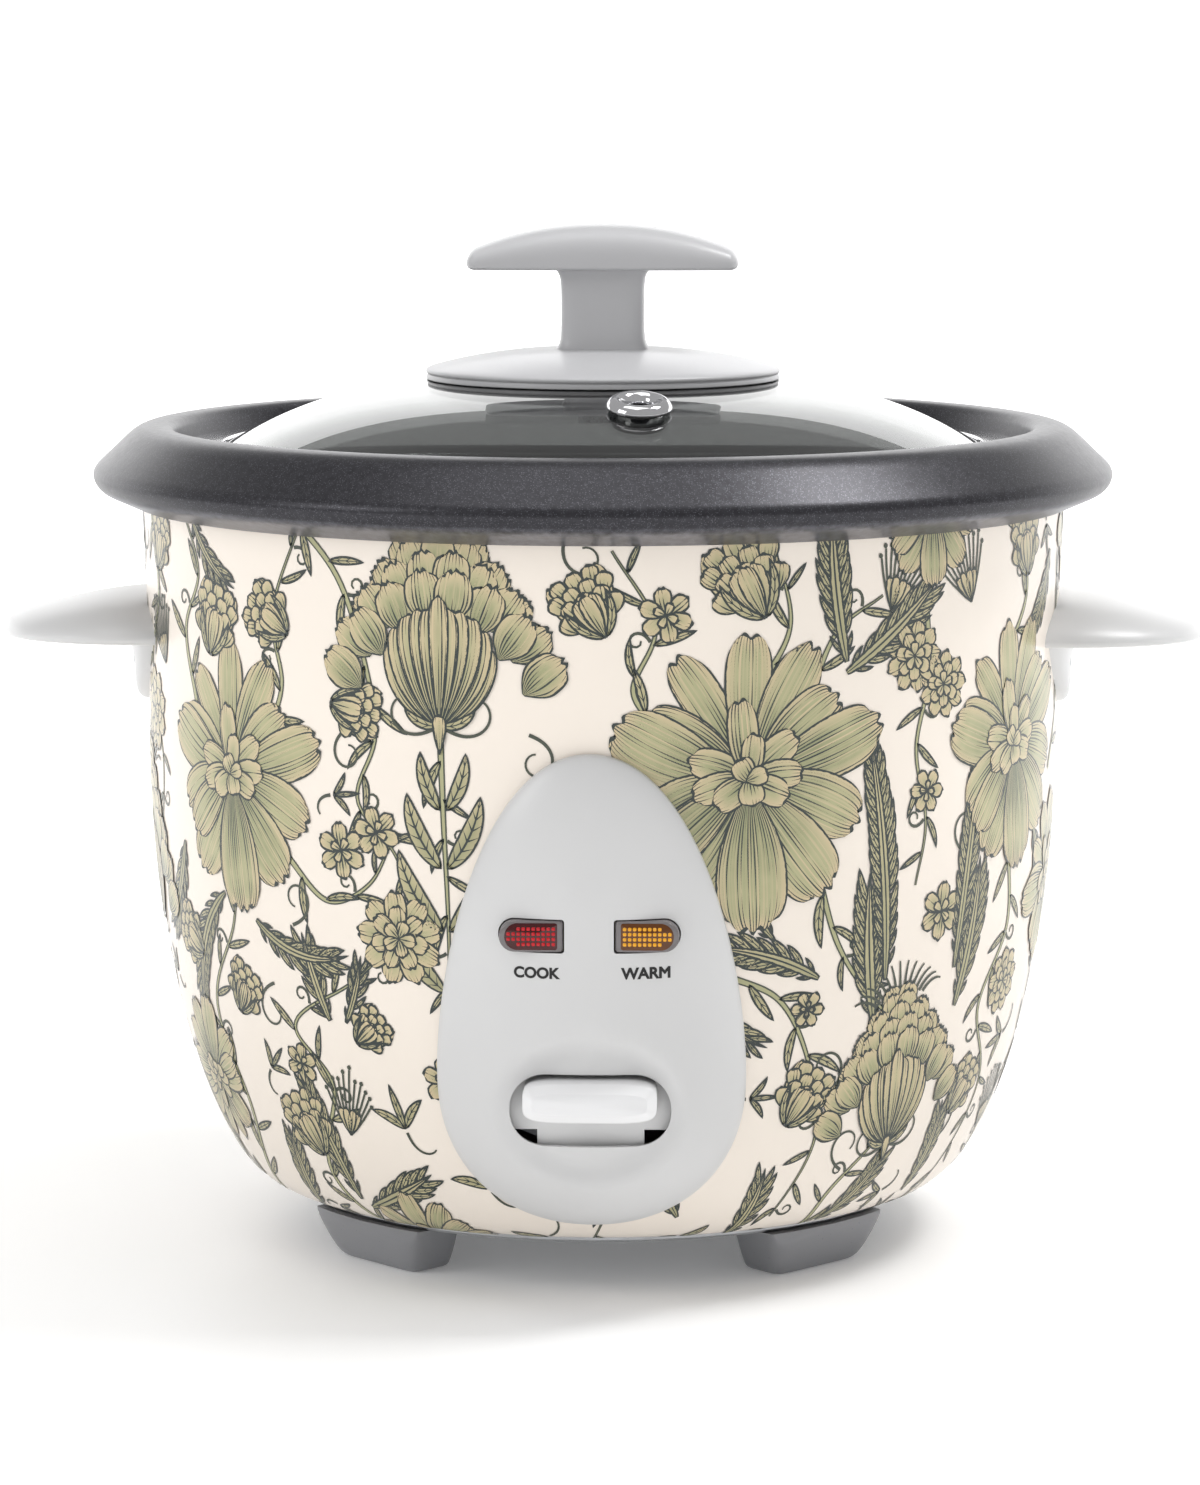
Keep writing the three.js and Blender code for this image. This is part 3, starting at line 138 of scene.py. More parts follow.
def smooth_line(corners: Sequence[tuple[float, float, float]], steps: int = 6) -> Array:
    """A line through corners, each rounded by a parabola that starts its radius before the corner.

    Args:
        corners: Radius or x, height or y, and rounding of each corner.
        steps: Points on each rounded corner.

    Returns:
        The line's points.
    """
    place = np.array([c[:2] for c in corners], float)
    result = [place[0]]
    t = np.linspace(0.0, 1.0, steps)[:, None]
    for i in range(1, len(place) - 1):
        reach = corners[i][2]
        before, here, after = place[i - 1], place[i], place[i + 1]
        back, ahead = before - here, after - here
        a = here + back * min(0.48, reach / max(np.linalg.norm(back), 1e-9))
        b = here + ahead * min(0.48, reach / max(np.linalg.norm(ahead), 1e-9))
        curve = (1 - t) ** 2 * a + 2 * t * (1 - t) * here + t**2 * b
        result.extend(curve if reach > 0 else [here])
    result.append(place[-1])
    return np.array(result)


def turned(profile: Array, segments: int) -> Skin:
    """A profile of radius and height turned about Z: (r cos a, r sin a, z).

    Args:
        profile: Radius and height of each point.
        segments: Steps round the axis.

    Returns:
        Points and faces.
    """
    angle = np.linspace(0.0, TURN, segments, endpoint=False)
    r, z = profile[:, :1], profile[:, 1:]
    points = grid_points(r * np.cos(angle), r * np.sin(angle), z)
    return points, grid_faces(len(profile), segments, wrap=True)


def rounded_section(half_x: float, half_y: float, power: float, count: int = 48) -> Array:
    """A super-ellipse: x = a sgn(cos t)|cos t|^(2/n), y = b sgn(sin t)|sin t|^(2/n).

    Args:
        half_x: Half width.
        half_y: Half height.
        power: The exponent n, 2 for an ellipse and more for a squarer shape.
        count: Points on the outline.

    Returns:
        The outline's points.
    """
    t = np.linspace(0.0, TURN, count, endpoint=False)
    c, s = np.cos(t), np.sin(t)
    return np.stack([half_x * np.sign(c) * np.abs(c) ** (2 / power),
                     half_y * np.sign(s) * np.abs(s) ** (2 / power)], -1)


def lofted(rows: Array) -> Skin:
    """A closed skin over rows of points, its first and last rows drawn in to their middles.

    Args:
        rows: Sections, each with the same number of points.

    Returns:
        Points and faces.
    """
    first = np.repeat(rows[:1].mean(axis=1, keepdims=True), rows.shape[1], axis=1)
    last = np.repeat(rows[-1:].mean(axis=1, keepdims=True), rows.shape[1], axis=1)
    skin = np.concatenate([first, rows, last])
    return skin, grid_faces(len(skin), rows.shape[1], wrap=True)


def swept(path: Array, radius: float, sides: int = 10) -> Skin:
    """A round tube along a path: each ring stands square to the path, p + r (n cos a + b sin a).

    Args:
        path: Points of the path.
        radius: The tube's radius.
        sides: Points on each ring.

    Returns:
        Points and faces.
    """
    ahead = np.gradient(path, axis=0)
    ahead /= np.linalg.norm(ahead, axis=1, keepdims=True)
    up = np.where(np.abs(ahead[:, 2:]) > 0.9, [[1.0, 0.0, 0.0]], [[0.0, 0.0, 1.0]])
    side = np.cross(ahead, up)
    side /= np.linalg.norm(side, axis=1, keepdims=True)
    other = np.cross(side, ahead)
    a = np.linspace(0.0, TURN, sides, endpoint=False)[None, :, None]
    rings = path[:, None] + radius * (side[:, None] * np.cos(a) + other[:, None] * np.sin(a))
    return lofted(rings)


def through(points: Sequence[Sequence[float]], count: int) -> Array:
    """A smooth curve through points (Catmull-Rom), with the given number of samples.

    Args:
        points: Points that the curve passes through.
        count: Number of samples.

    Returns:
        The curve's points.
    """
    p = np.array(points, float)
    p = np.vstack([2 * p[0] - p[1], p, 2 * p[-1] - p[-2]])
    t = np.linspace(0.0, len(p) - 3 - 1e-9, count)
    i = t.astype(int)
    f = (t - i)[:, None]
    a, b, c, d = p[i], p[i + 1], p[i + 2], p[i + 3]
    return 0.5 * (2 * b + (c - a) * f + (2 * a - 5 * b + 4 * c - d) * f**2 + (3 * b - a - 3 * c + d) * f**3)


def joined(*parts: Skin) -> Skin:
    """Several sets of points and quads as one.

    Args:
        parts: Points and faces of each set.

    Returns:
        Points and faces.
    """
    points, faces, total = [], [], 0
    for part_points, part_faces in parts:
        flat = np.asarray(part_points).reshape(-1, 3)
        points.append(flat)
        faces.append(np.asarray(part_faces) + total)
        total += len(flat)
    return np.vstack(points), np.vstack(faces)


def settled(piece: Piece) -> None:
    """Applies every modifier of a piece to its mesh."""
    graph = bpy.context.evaluated_depsgraph_get()
    mesh = bpy.data.meshes.new_from_object(piece.evaluated_get(graph))
    piece.modifiers.clear()
    piece.data = mesh


def carved(piece: Piece, cutters: Sequence[Piece], crease: float = 35.0) -> None:
    """Cuts cutters out of a piece and removes them.

    Args:
        piece: The piece that is cut.
        cutters: Closed solids.
        crease: Edges sharper than this angle in degrees stay sharp.
    """
    for cutter in cutters:
        cut = piece.modifiers.new("cut", "BOOLEAN")
        cut.object = cutter
        cut.solver = "EXACT"
    settled(piece)
    for cutter in cutters:
        bpy.data.objects.remove(cutter)
    piece.data.polygons.foreach_set("use_smooth", np.ones(len(piece.data.polygons), bool))
    piece.data.set_sharp_from_angle(angle=math.radians(crease))


def solidify(piece: Piece, wall: float) -> None:
    """Gives a sheet its wall, in millimetres, behind its faces."""
    skin = piece.modifiers.new("wall", "SOLIDIFY")
    skin.thickness = wall * MM
    skin.offset = -1.0
    skin.use_even_offset = True


def soften(piece: Piece, width: float, angle: float = 35.0) -> None:
    """Rounds a piece's sharp edges.

    Args:
        piece: The piece.
        width: Width of the rounding in millimetres.
        angle: Smallest angle between faces, in degrees, that is rounded.
    """
    bevel = piece.modifiers.new("edge", "BEVEL")
    bevel.width = width * MM
    bevel.segments = 2
    bevel.limit_method = "ANGLE"
    bevel.angle_limit = math.radians(angle)


def placed(piece: Piece, body: str, slot: str, *replaced: str) -> Piece:
    """Parents a piece to the body it rides on and hides the nodes that it replaces.

    Args:
        piece: The piece.
        body: The body it moves with.
        slot: Not used.
        replaced: Nodes that it stands for.

    Returns:
        The piece.
    """
    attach(piece, body)
    if replaced:
        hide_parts(*replaced)
    log.info("%s rides on %s", piece.name, body)
    return piece


# ---------------------------------------------------------------- finishes
def colour(code: str) -> tuple[float, float, float, float]:
    """A display colour such as "#a0b1c2" as linear light, with full cover."""
    parts = [int(code[i:i + 2], 16) / 255.0 for i in (1, 3, 5)]
    linear = [p / 12.92 if p <= 0.04045 else ((p + 0.055) / 1.055) ** 2.4 for p in parts]
    return (*linear, 1.0)


def feed(node: bpy.types.ShaderNode, inputs: Any) -> None:
    """Sets a node's inputs to values, or links them to other nodes' outputs.

    Args:
        node: The node.
        inputs: Values, outputs or nodes, whose first output counts, in order or by socket.
    """
    for key, value in inputs.items() if isinstance(inputs, dict) else enumerate(inputs):
        if isinstance(value, bpy.types.Node):
            value = value.outputs[0]
        if isinstance(value, Socket):
            node.id_data.links.new(value, node.inputs[key])
        else:
            node.inputs[key].default_value = value


def add_node(material: Material, kind: str, inputs: Any = (), **settings: Any) -> bpy.types.ShaderNode:
    """Adds one node to a material, with its settings, values and links.

    Args:
        material: The material.
        kind: The node's type, without ShaderNode before it.
        inputs: What is fed to its sockets.
        settings: The node's own properties.

    Returns:
        The node.
    """
    node = material.node_tree.nodes.new("ShaderNode" + kind)
    for name, value in settings.items():
        setattr(node, name, value)
    feed(node, inputs)
    return node


def new_material(name: str) -> tuple[Material, bpy.types.ShaderNode]:
    """A new material and its main shader."""
    material = bpy.data.materials.new(name)
    material.use_nodes = True
    shader = material.node_tree.nodes["Principled BSDF"]
    return material, shader


@dataclass(frozen=True)
class Moulded:
    """An injection-moulded plastic: satin skin with a fine spark-eroded grain and faint mottling.

    Attributes:
        name: The material's name.
        tint: Display colour.
        roughness: Mean roughness.
        grain: Spacing of the grain in millimetres.
        relief: Height of the grain in millimetres.
        shade: How far the mottling darkens the colour.
    """

    name: str
    tint: str
    roughness: float = 0.38
    grain: float = 0.45
    relief: float = 0.012
    shade: float = 0.03

    def build(self) -> Material:
        """Makes the material.

        Returns:
            The material.
        """
        material, shader = new_material(self.name)
        place = add_node(material, "TexCoord").outputs["Object"]
        fine = add_node(material, "TexNoise", {"Vector": place, "Scale": 1.0 / (self.grain * MM),
                                                         "Detail": 3.0})
        broad = add_node(material, "TexNoise", {"Vector": place, "Scale": 45.0, "Detail": 2.0})
        base = np.array(colour(self.tint))
        dark = tuple(base[:3] * (1.0 - 2.0 * self.shade)) + (1.0,)
        mix = add_node(material, "Mix", {0: broad.outputs["Fac"], 6: dark, 7: tuple(base)}, data_type="RGBA")
        feed(shader, {"Base Color": mix.outputs[2]})
        rough = add_node(material, "MapRange", {
            "Value": fine.outputs["Fac"], "To Min": self.roughness - 0.06, "To Max": self.roughness + 0.06})
        feed(shader, {"Roughness": rough.outputs[0]})
        bump = add_node(material, "Bump", {
            "Height": fine.outputs["Fac"], "Distance": self.relief * MM, "Strength": 0.5})
        feed(shader, {"Normal": bump.outputs[0]})
        return material


@dataclass(frozen=True)
class Metal:
    """A bare metal: pressed, cast, plated or polished, with directionless fine scratches or casting grain.

    Attributes:
        name: The material's name.
        tint: Display colour.
        roughness: Mean roughness.
        spread: How far the roughness wanders.
        grain: Spacing of the marks in millimetres.
        relief: Height of the marks in millimetres.
        turned_marks: Whether the marks are rings about the axis.
    """

    name: str
    tint: str
    roughness: float
    spread: float = 0.08
    grain: float = 0.6
    relief: float = 0.01
    turned_marks: bool = False

    def build(self) -> Material:
        """Makes the material.

        Returns:
            The material.
        """
        material, shader = new_material(self.name)
        place = add_node(material, "TexCoord").outputs["Object"]
        if self.turned_marks:
            # Rings about the axis: the distance from it drives the pattern.
            axes = add_node(material, "SeparateXYZ", {0: place}).outputs
            squares = [add_node(material, "Math", (axis, 2.0), operation="POWER")
                       for axis in axes[:2]]
            total = add_node(material, "Math", squares, operation="ADD")
            flat = add_node(material, "Math", (total, 0.5), operation="POWER")
            place = add_node(material, "CombineXYZ", {0: flat}).outputs[0]
        fine = add_node(material, "TexNoise", {"Vector": place, "Scale": 1.0 / (self.grain * MM),
                                                         "Detail": 4.0})
        rough = add_node(material, "MapRange", {
            "Value": fine.outputs["Fac"], "From Min": 0.3, "From Max": 0.7,
            "To Min": max(self.roughness - self.spread, 0.03), "To Max": self.roughness + self.spread})
        feed(shader, {"Roughness": rough.outputs[0]})
        bump = add_node(material, "Bump", {
            "Height": fine.outputs["Fac"], "Distance": self.relief * MM, "Strength": 0.6})
        feed(shader, {"Normal": bump.outputs[0]})
        tone = add_node(material, "Mix", {
            0: fine.outputs["Fac"], 6: tuple(np.array(colour(self.tint))[:3] * 0.85) + (1.0,),
            7: colour(self.tint)}, data_type="RGBA")
        feed(shader, {"Base Color": tone.outputs[2], "Metallic": 1.0})
        return material


@dataclass(frozen=True)
class Enamel:
    """Stoved cream enamel under a clear coat: glossy, with the long soft waves of sprayed paint."""

    name: str = "cream_enamel"
    tint: str = "#f5ebdf"
    roughness: float = 0.34

    def build(self) -> Material:
        """Makes the material.

        Returns:
            The material.
        """
        material, shader = new_material(self.name)
        place = add_node(material, "TexCoord").outputs["Object"]
        wave = add_node(material, "TexNoise", {"Vector": place, "Scale": 260.0, "Detail": 1.0})
        cloud = add_node(material, "TexNoise", {"Vector": place, "Scale": 16.0, "Detail": 3.0})
        base = np.array(colour(self.tint))
        mix = add_node(material, "Mix", {
            0: cloud.outputs["Fac"], 6: tuple(base[:3] * 0.975) + (1.0,), 7: tuple(base)}, data_type="RGBA")
        feed(shader, {"Base Color": mix.outputs[2]})
        bump = add_node(material, "Bump", {
            "Height": wave.outputs["Fac"], "Distance": 0.01 * MM, "Strength": 0.4})
        feed(shader, {"Normal": bump.outputs[0], "Roughness": self.roughness, "Coat Weight": 0.25,
                      "Coat Roughness": 0.12})
        return material


@dataclass(frozen=True)
class NonStick:
    """Dark fluoropolymer coating with mica flakes: grey-violet, with a satin sheen, tiny bright specks and a
    painted light band under the lip.
    """

    name: str = "fluoropolymer_coating"
    tint: str = "#1f1e22"
    fleck: str = "#85858e"

    def build(self) -> Material:
        """Makes the material.

        Returns:
            The material.
        """
        material, shader = new_material(self.name)
        place = add_node(material, "TexCoord").outputs["Object"]
        # Real flakes are under 0.1 mm; they are drawn at 0.25 mm so that they show.
        cells = add_node(material, "TexVoronoi", {"Vector": place, "Scale": 4000.0})
        pick = add_node(material, "SeparateColor", {0: cells.outputs["Color"]})
        small = add_node(material, "Math", (cells.outputs["Distance"], 0.42), operation="LESS_THAN")
        rare = add_node(material, "Math", (pick.outputs[0], 0.5), operation="GREATER_THAN")
        bright = add_node(material, "Math",
                          (pick.outputs[1], add_node(material, "Math", (small, rare),
                                                     operation="MULTIPLY")), operation="MULTIPLY")
        mist = add_node(material, "TexNoise", {"Vector": place, "Scale": 700.0, "Detail": 4.0})
        dust = add_node(material, "Math", (mist.outputs["Fac"], 0.14), operation="MULTIPLY")
        # Painted light: a lighter band over the lip's turned-down underside, broken up by the mist noise,
        # stands in for light thrown up from the white table.
        height = add_node(material, "SeparateXYZ", {0: place}).outputs[2]
        level = add_node(material, "VectorMath", {0: place, 1: (1.0, 1.0, 0.0)}, operation="MULTIPLY")
        outer = add_node(material, "VectorMath", {0: level.outputs[0]}, operation="LENGTH")
        low = add_node(material, "MapRange", {"Value": height, "From Min": 0.1512, "From Max": 0.1496})
        lip = add_node(material, "MapRange", {"Value": outer.outputs["Value"], "From Min": 0.090,
                                                        "From Max": 0.093})
        vein_width_and_lip_light = add_node(material, "Math",
                        (add_node(material, "Math", (low.outputs[0], lip.outputs[0]),
                                  operation="MULTIPLY"),
                         add_node(material, "Math", (mist.outputs["Fac"], 1.6, -0.2),
                                  operation="MULTIPLY_ADD")), operation="MULTIPLY")
        share = add_node(material, "Math",
                         (add_node(material, "Math", (bright, 0.34), operation="MULTIPLY"),
                          add_node(material, "Math", (dust, vein_width_and_lip_light), operation="MAXIMUM")),
                         operation="ADD")
        mix = add_node(material, "Mix", {0: share, 6: colour(self.tint), 7: colour(self.fleck)},
                       data_type="RGBA", clamp_factor=True)
        feed(shader, {"Base Color": mix.outputs[2]})
        rough = add_node(material, "MapRange", {"Value": mist.outputs["Fac"], "To Min": 0.28, "To Max": 0.42})
        feed(shader, {"Roughness": rough.outputs[0]})
        bump = add_node(material, "Bump", {
            "Height": mist.outputs["Fac"], "Distance": 0.02 * MM, "Strength": 0.5})
        feed(shader, {"Normal": bump.outputs[0], "Metallic": 0.55})
        return material


@dataclass(frozen=True)
class ClearGlass:
    """Tempered glass with a grey tint that paints the shade inside the pot: dark where the pot shows through,
    bright where it mirrors.
    """

    name: str = "tempered_glass"

    def build(self) -> Material:
        """Makes the material.

        Returns:
            The material.
        """
        material, shader = new_material(self.name)
        place = add_node(material, "TexCoord").outputs["Object"]
        ripple = add_node(material, "TexNoise", {"Vector": place, "Scale": 28.0, "Detail": 1.0})
        bump = add_node(material, "Bump", {
            "Height": ripple.outputs["Fac"], "Distance": 0.04 * MM, "Strength": 0.3})
        # Painted shade: the grey base colour darkens all light through the glass, standing in for the shade
        # inside the pot.
        feed(shader, {"Normal": bump.outputs[0], "Base Color": colour("#888a89"),
                      "Transmission Weight": 1.0, "Roughness": 0.015, "IOR": 1.5})
        return material


@dataclass(frozen=True)
class LensPlastic:
    """Tinted clear acrylic, moulded with a dot grid that breaks up the lamp's light.

    Attributes:
        name: The material's name.
        tint: Display colour.
        clear: How much light passes.
        lit: How brightly the lamp behind it glows.
    """

    name: str
    tint: str
    clear: float
    lit: float = 0.0

    def build(self) -> Material:
        """Makes the material.

        Returns:
            The material.
        """
        material, shader = new_material(self.name)
        place = add_node(material, "TexCoord").outputs["Object"]
        cloud = add_node(material, "TexNoise", {"Vector": place, "Scale": 320.0, "Detail": 2.0})
        base = np.array(colour(self.tint))
        mix = add_node(material, "Mix", {
            0: cloud.outputs["Fac"], 6: tuple(base[:3] * 0.72) + (1.0,), 7: tuple(base)}, data_type="RGBA")
        feed(shader, {"Base Color": mix.outputs[2], "Roughness": 0.12, "IOR": 1.49,
                      "Transmission Weight": self.clear})
        if self.lit > 0:
            feed(shader, {"Emission Color": tuple(base), "Emission Strength": self.lit})
        return material


class Motif(Enum):
    """How a printed shape is filled."""

    PETAL = "petal"
    LEAF = "leaf"
    INK = "ink"
    CORE = "stem"


@dataclass(frozen=True)
class PrintedInk:
    """Screen-printed ink under the clear coat: flat sage and tan areas, drawn over with dark green lines.

    The attributes on the mesh are: edge, the distance to the shape's edge in millimetres;
    along, from 0 at the root to 1 at the tip; lane, the number of drawn lines from the middle; and
    tone, a chance value for the shape.

    Attributes:
        motif: How the shape is filled.
        line: Width of the drawn outline in millimetres.
        dark: The line ink.
        shade: The sage ink in the hollows.
        body: The ink over most of a shape.
        light: The tan ink towards the tips.
    """

    motif: Motif
    line: float = 0.42
    dark: str = "#1c2926"
    shade: str = "#8d9068"
    body: str = "#aeac82"
    light: str = "#cdbb95"

    def build(self) -> Material:
        """Makes the material.

        Returns:
            The material.
        """
        material, shader = new_material(f"screen_print_{self.motif.value}")
        feed(shader, {"Roughness": 0.36, "Coat Weight": 0.25, "Coat Roughness": 0.12})
        place = add_node(material, "TexCoord").outputs["Object"]
        worn = add_node(material, "TexNoise", {"Vector": place, "Scale": 900.0, "Detail": 2.0})
        if self.motif in (Motif.INK, Motif.CORE):
            mix = add_node(material, "Mix",
                           {0: add_node(material, "Math", (worn.outputs["Fac"], 0.25),
                                        operation="MULTIPLY"),
                            6: colour(self.dark if self.motif is Motif.INK else self.body),
                            7: colour(self.shade)}, data_type="RGBA")
            feed(shader, {"Base Color": mix.outputs[2]})
            return material
        edge, along, lane, tone, beat = (
            add_node(material, "Attribute", attribute_name=name).outputs["Fac"]
            for name in ("edge", "along", "lane", "tone", "beat"))
        petal = self.motif is Motif.PETAL
        lines = (self.petal_lines(material, along, lane, tone) if petal
                 else self.leaf_lines(material, beat, lane))
        # The outline: full ink nearer the edge than the line's width, wavering with the paint's noise.
        width = add_node(material, "Math", (worn.outputs["Fac"], self.line, self.line * 0.5),
                         operation="MULTIPLY_ADD")
        outline = add_node(material, "Math", (edge, width), operation="LESS_THAN")
        ink = add_node(material, "Math", (lines, outline), operation="MAXIMUM")
        cloud = add_node(material, "TexNoise", {"Vector": place, "Scale": 170.0, "Detail": 2.0})
        drift = add_node(material, "Math", (cloud.outputs["Fac"], 1.5, -0.75), operation="MULTIPLY_ADD")
        # The hollows near the root are sage; the fill lightens towards the tip and the edge.
        rise = add_node(material, "Math", (along, 1.5 if petal else 0.6, -0.45 if petal else -0.05),
                        operation="MULTIPLY_ADD")
        body = add_node(material, "Mix",
                        {0: add_node(material, "Math",
                                     (drift, add_node(material, "Math", (tone, 0.4, rise),
                                                      operation="MULTIPLY_ADD")), operation="ADD"),
                         6: colour(self.shade), 7: colour(self.body)}, data_type="RGBA", clamp_factor=True)
        near = add_node(material, "MapRange", {"Value": edge, "From Min": 2.6, "From Max": 0.5})
        strand = add_node(material, "TexNoise",
                          {"W": add_node(material, "Math",
                                         (lane, 1.3, add_node(material, "Math", (tone, 40.0),
                                                              operation="MULTIPLY")),
                                         operation="MULTIPLY_ADD"), "Scale": 1.0, "Detail": 1.0},
                          noise_dimensions="1D")
        warm = add_node(material, "Math",
                        (add_node(material, "Math",
                                  (near.outputs[0],
                                   add_node(material, "Math", (strand.outputs["Fac"], 3.2, -1.5),
                                            operation="MULTIPLY_ADD")), operation="MAXIMUM"),
                         add_node(material, "Math", (along, 0.9 if petal else 0.4, 0.25),
                                  operation="MULTIPLY_ADD")), operation="MULTIPLY")
        lit = add_node(material, "Mix", {0: warm, 6: body.outputs[2], 7: colour(self.light)},
                       data_type="RGBA", clamp_factor=True)
        drawn = add_node(material, "Mix", {0: ink, 6: lit.outputs[2], 7: colour(self.dark)},
                         data_type="RGBA", clamp_factor=True)
        feed(shader, {"Base Color": drawn.outputs[2]})
        return material

    def petal_lines(self, material: Material, along: Any, lane: Any, tone: Any) -> Any:
        """Engraved lines that run from a petal's root and from its tip and thin out to nothing.

        Args:
            material: The material.
            along: From 0 at the root to 1 at the tip.
            lane: Number of lines from the middle.
            tone: The shape's chance value.

        Returns:
            A node that gives 1 on a line.
        """
        number = add_node(material, "Math", (lane,), operation="ROUND")
        off = add_node(material, "Math",
                       (add_node(material, "Math", (lane, number), operation="SUBTRACT"),),
                       operation="ABSOLUTE")
        seed = add_node(material, "Math", (tone, 57.0, number), operation="MULTIPLY_ADD")
        noise = add_node(material, "TexWhiteNoise", {"W": seed}, noise_dimensions="1D")
        chance = noise.outputs["Value"]
        root_end = add_node(material, "Math", (chance, 0.62, 0.3), operation="MULTIPLY_ADD")
        root = add_node(material, "Math",
                        (add_node(material, "Math", (root_end, along), operation="SUBTRACT"), 0.75),
                        operation="MULTIPLY")
        tip_end = add_node(material, "Math", (chance, -0.34, 0.98), operation="MULTIPLY_ADD")
        tip = add_node(material, "Math",
                       (add_node(material, "Math", (along, tip_end), operation="SUBTRACT"), 0.9),
                       operation="MULTIPLY")
        reach = add_node(material, "Math",
                         (add_node(material, "Math", (root, tip), operation="MAXIMUM"), 0.25),
                         operation="MINIMUM")
        return add_node(material, "Math", (off, reach), operation="LESS_THAN")

    def leaf_lines(self, material: Material, beat: Any, lane: Any) -> Any:
        """A leaf's midrib and its slanting side veins.

        Args:
            material: The material.
            beat: Number of side veins from the root.
            lane: Distance from the midrib, 1 at the edge and signed.

        Returns:
            A node that gives 1 on a line.
        """
        out = add_node(material, "Math", (lane,), operation="ABSOLUTE")
        rib = add_node(material, "Math", (out, 0.11), operation="LESS_THAN")
        slant = add_node(material, "Math",
                         (beat, add_node(material, "Math", (out, 0.9), operation="MULTIPLY")),
                         operation="SUBTRACT")
        gap = add_node(material, "Math",
                       (add_node(material, "Math",
                                 (slant, add_node(material, "Math", (slant,), operation="ROUND")),
                                 operation="SUBTRACT"),), operation="ABSOLUTE")
        vein_width_and_lip_light = add_node(material, "Math", (out, -0.13, 0.12), operation="MULTIPLY_ADD")
        return add_node(material, "Math",
                        (rib, add_node(material, "Math", (gap, vein_width_and_lip_light), operation="LESS_THAN")),
                        operation="MAXIMUM")


GREY_ABS = Moulded("grey_abs", "#d6d6d6", roughness=0.34)
KNOB_ABS = Moulded("knob_abs", "#bfbfc1", roughness=0.36)
WHITE_ABS = Moulded("white_abs", "#efeff0", roughness=0.2, relief=0.002, shade=0.01)
FOOT_PLASTIC = Moulded("foot_polypropylene", "#8b8c90", roughness=0.3, grain=0.6)
BLACK_PHENOLIC = Moulded("black_phenolic", "#1d1d20", roughness=0.42)
SILICONE = Moulded("silicone_rubber", "#c9c9c6", roughness=0.55)
MICA = Moulded("mica_board", "#a8946c", roughness=0.6, grain=1.6, relief=0.03, shade=0.12)
SLEEVE = Moulded("glass_fibre_sleeve", "#e4dfd0", roughness=0.8, grain=0.5, relief=0.08, shade=0.1)
RED_WIRE = Moulded("red_wire_insulation", "#9c1f1f", roughness=0.45)
POLISHED = Metal("polished_stainless", "#d8d8da", 0.08, spread=0.03, grain=0.3, relief=0.002)
GALVANISED = Metal("galvanised_sheet", "#b7b9bc", 0.42, spread=0.14, grain=5.0, relief=0.01)
ALUMINIUM = Metal("turned_aluminium", "#c4c5c7", 0.34, spread=0.1, grain=0.9, relief=0.02, turned_marks=True)
ZINC = Metal("zinc_plate", "#c3c6cb", 0.3, grain=0.8)
SPRING_STEEL = Metal("drawn_spring_wire", "#8e9092", 0.25, grain=0.4)
BRASS = Metal("stamped_brass", "#c8a25a", 0.26, grain=0.5)
FERRITE = Moulded("sintered_ferrite", "#37373a", roughness=0.55, grain=0.5, relief=0.03)
RED_LENS = LensPlastic("red_acrylic", "#c9081a", 0.15, lit=0.12)
AMBER_LENS = LensPlastic("amber_acrylic", "#eba61c", 0.1, lit=0.2)
SMOKE_LENS = LensPlastic("smoke_acrylic", "#a39d9e", 0.45)
RED_BASE = LensPlastic("dark_red_acrylic", "#4d0307", 0.2)
AMBER_BASE = LensPlastic("dark_amber_acrylic", "#6b3a06", 0.2)
LABEL_INK = Moulded("black_pad_print", "#0b0b0c", roughness=0.5, relief=0.002)


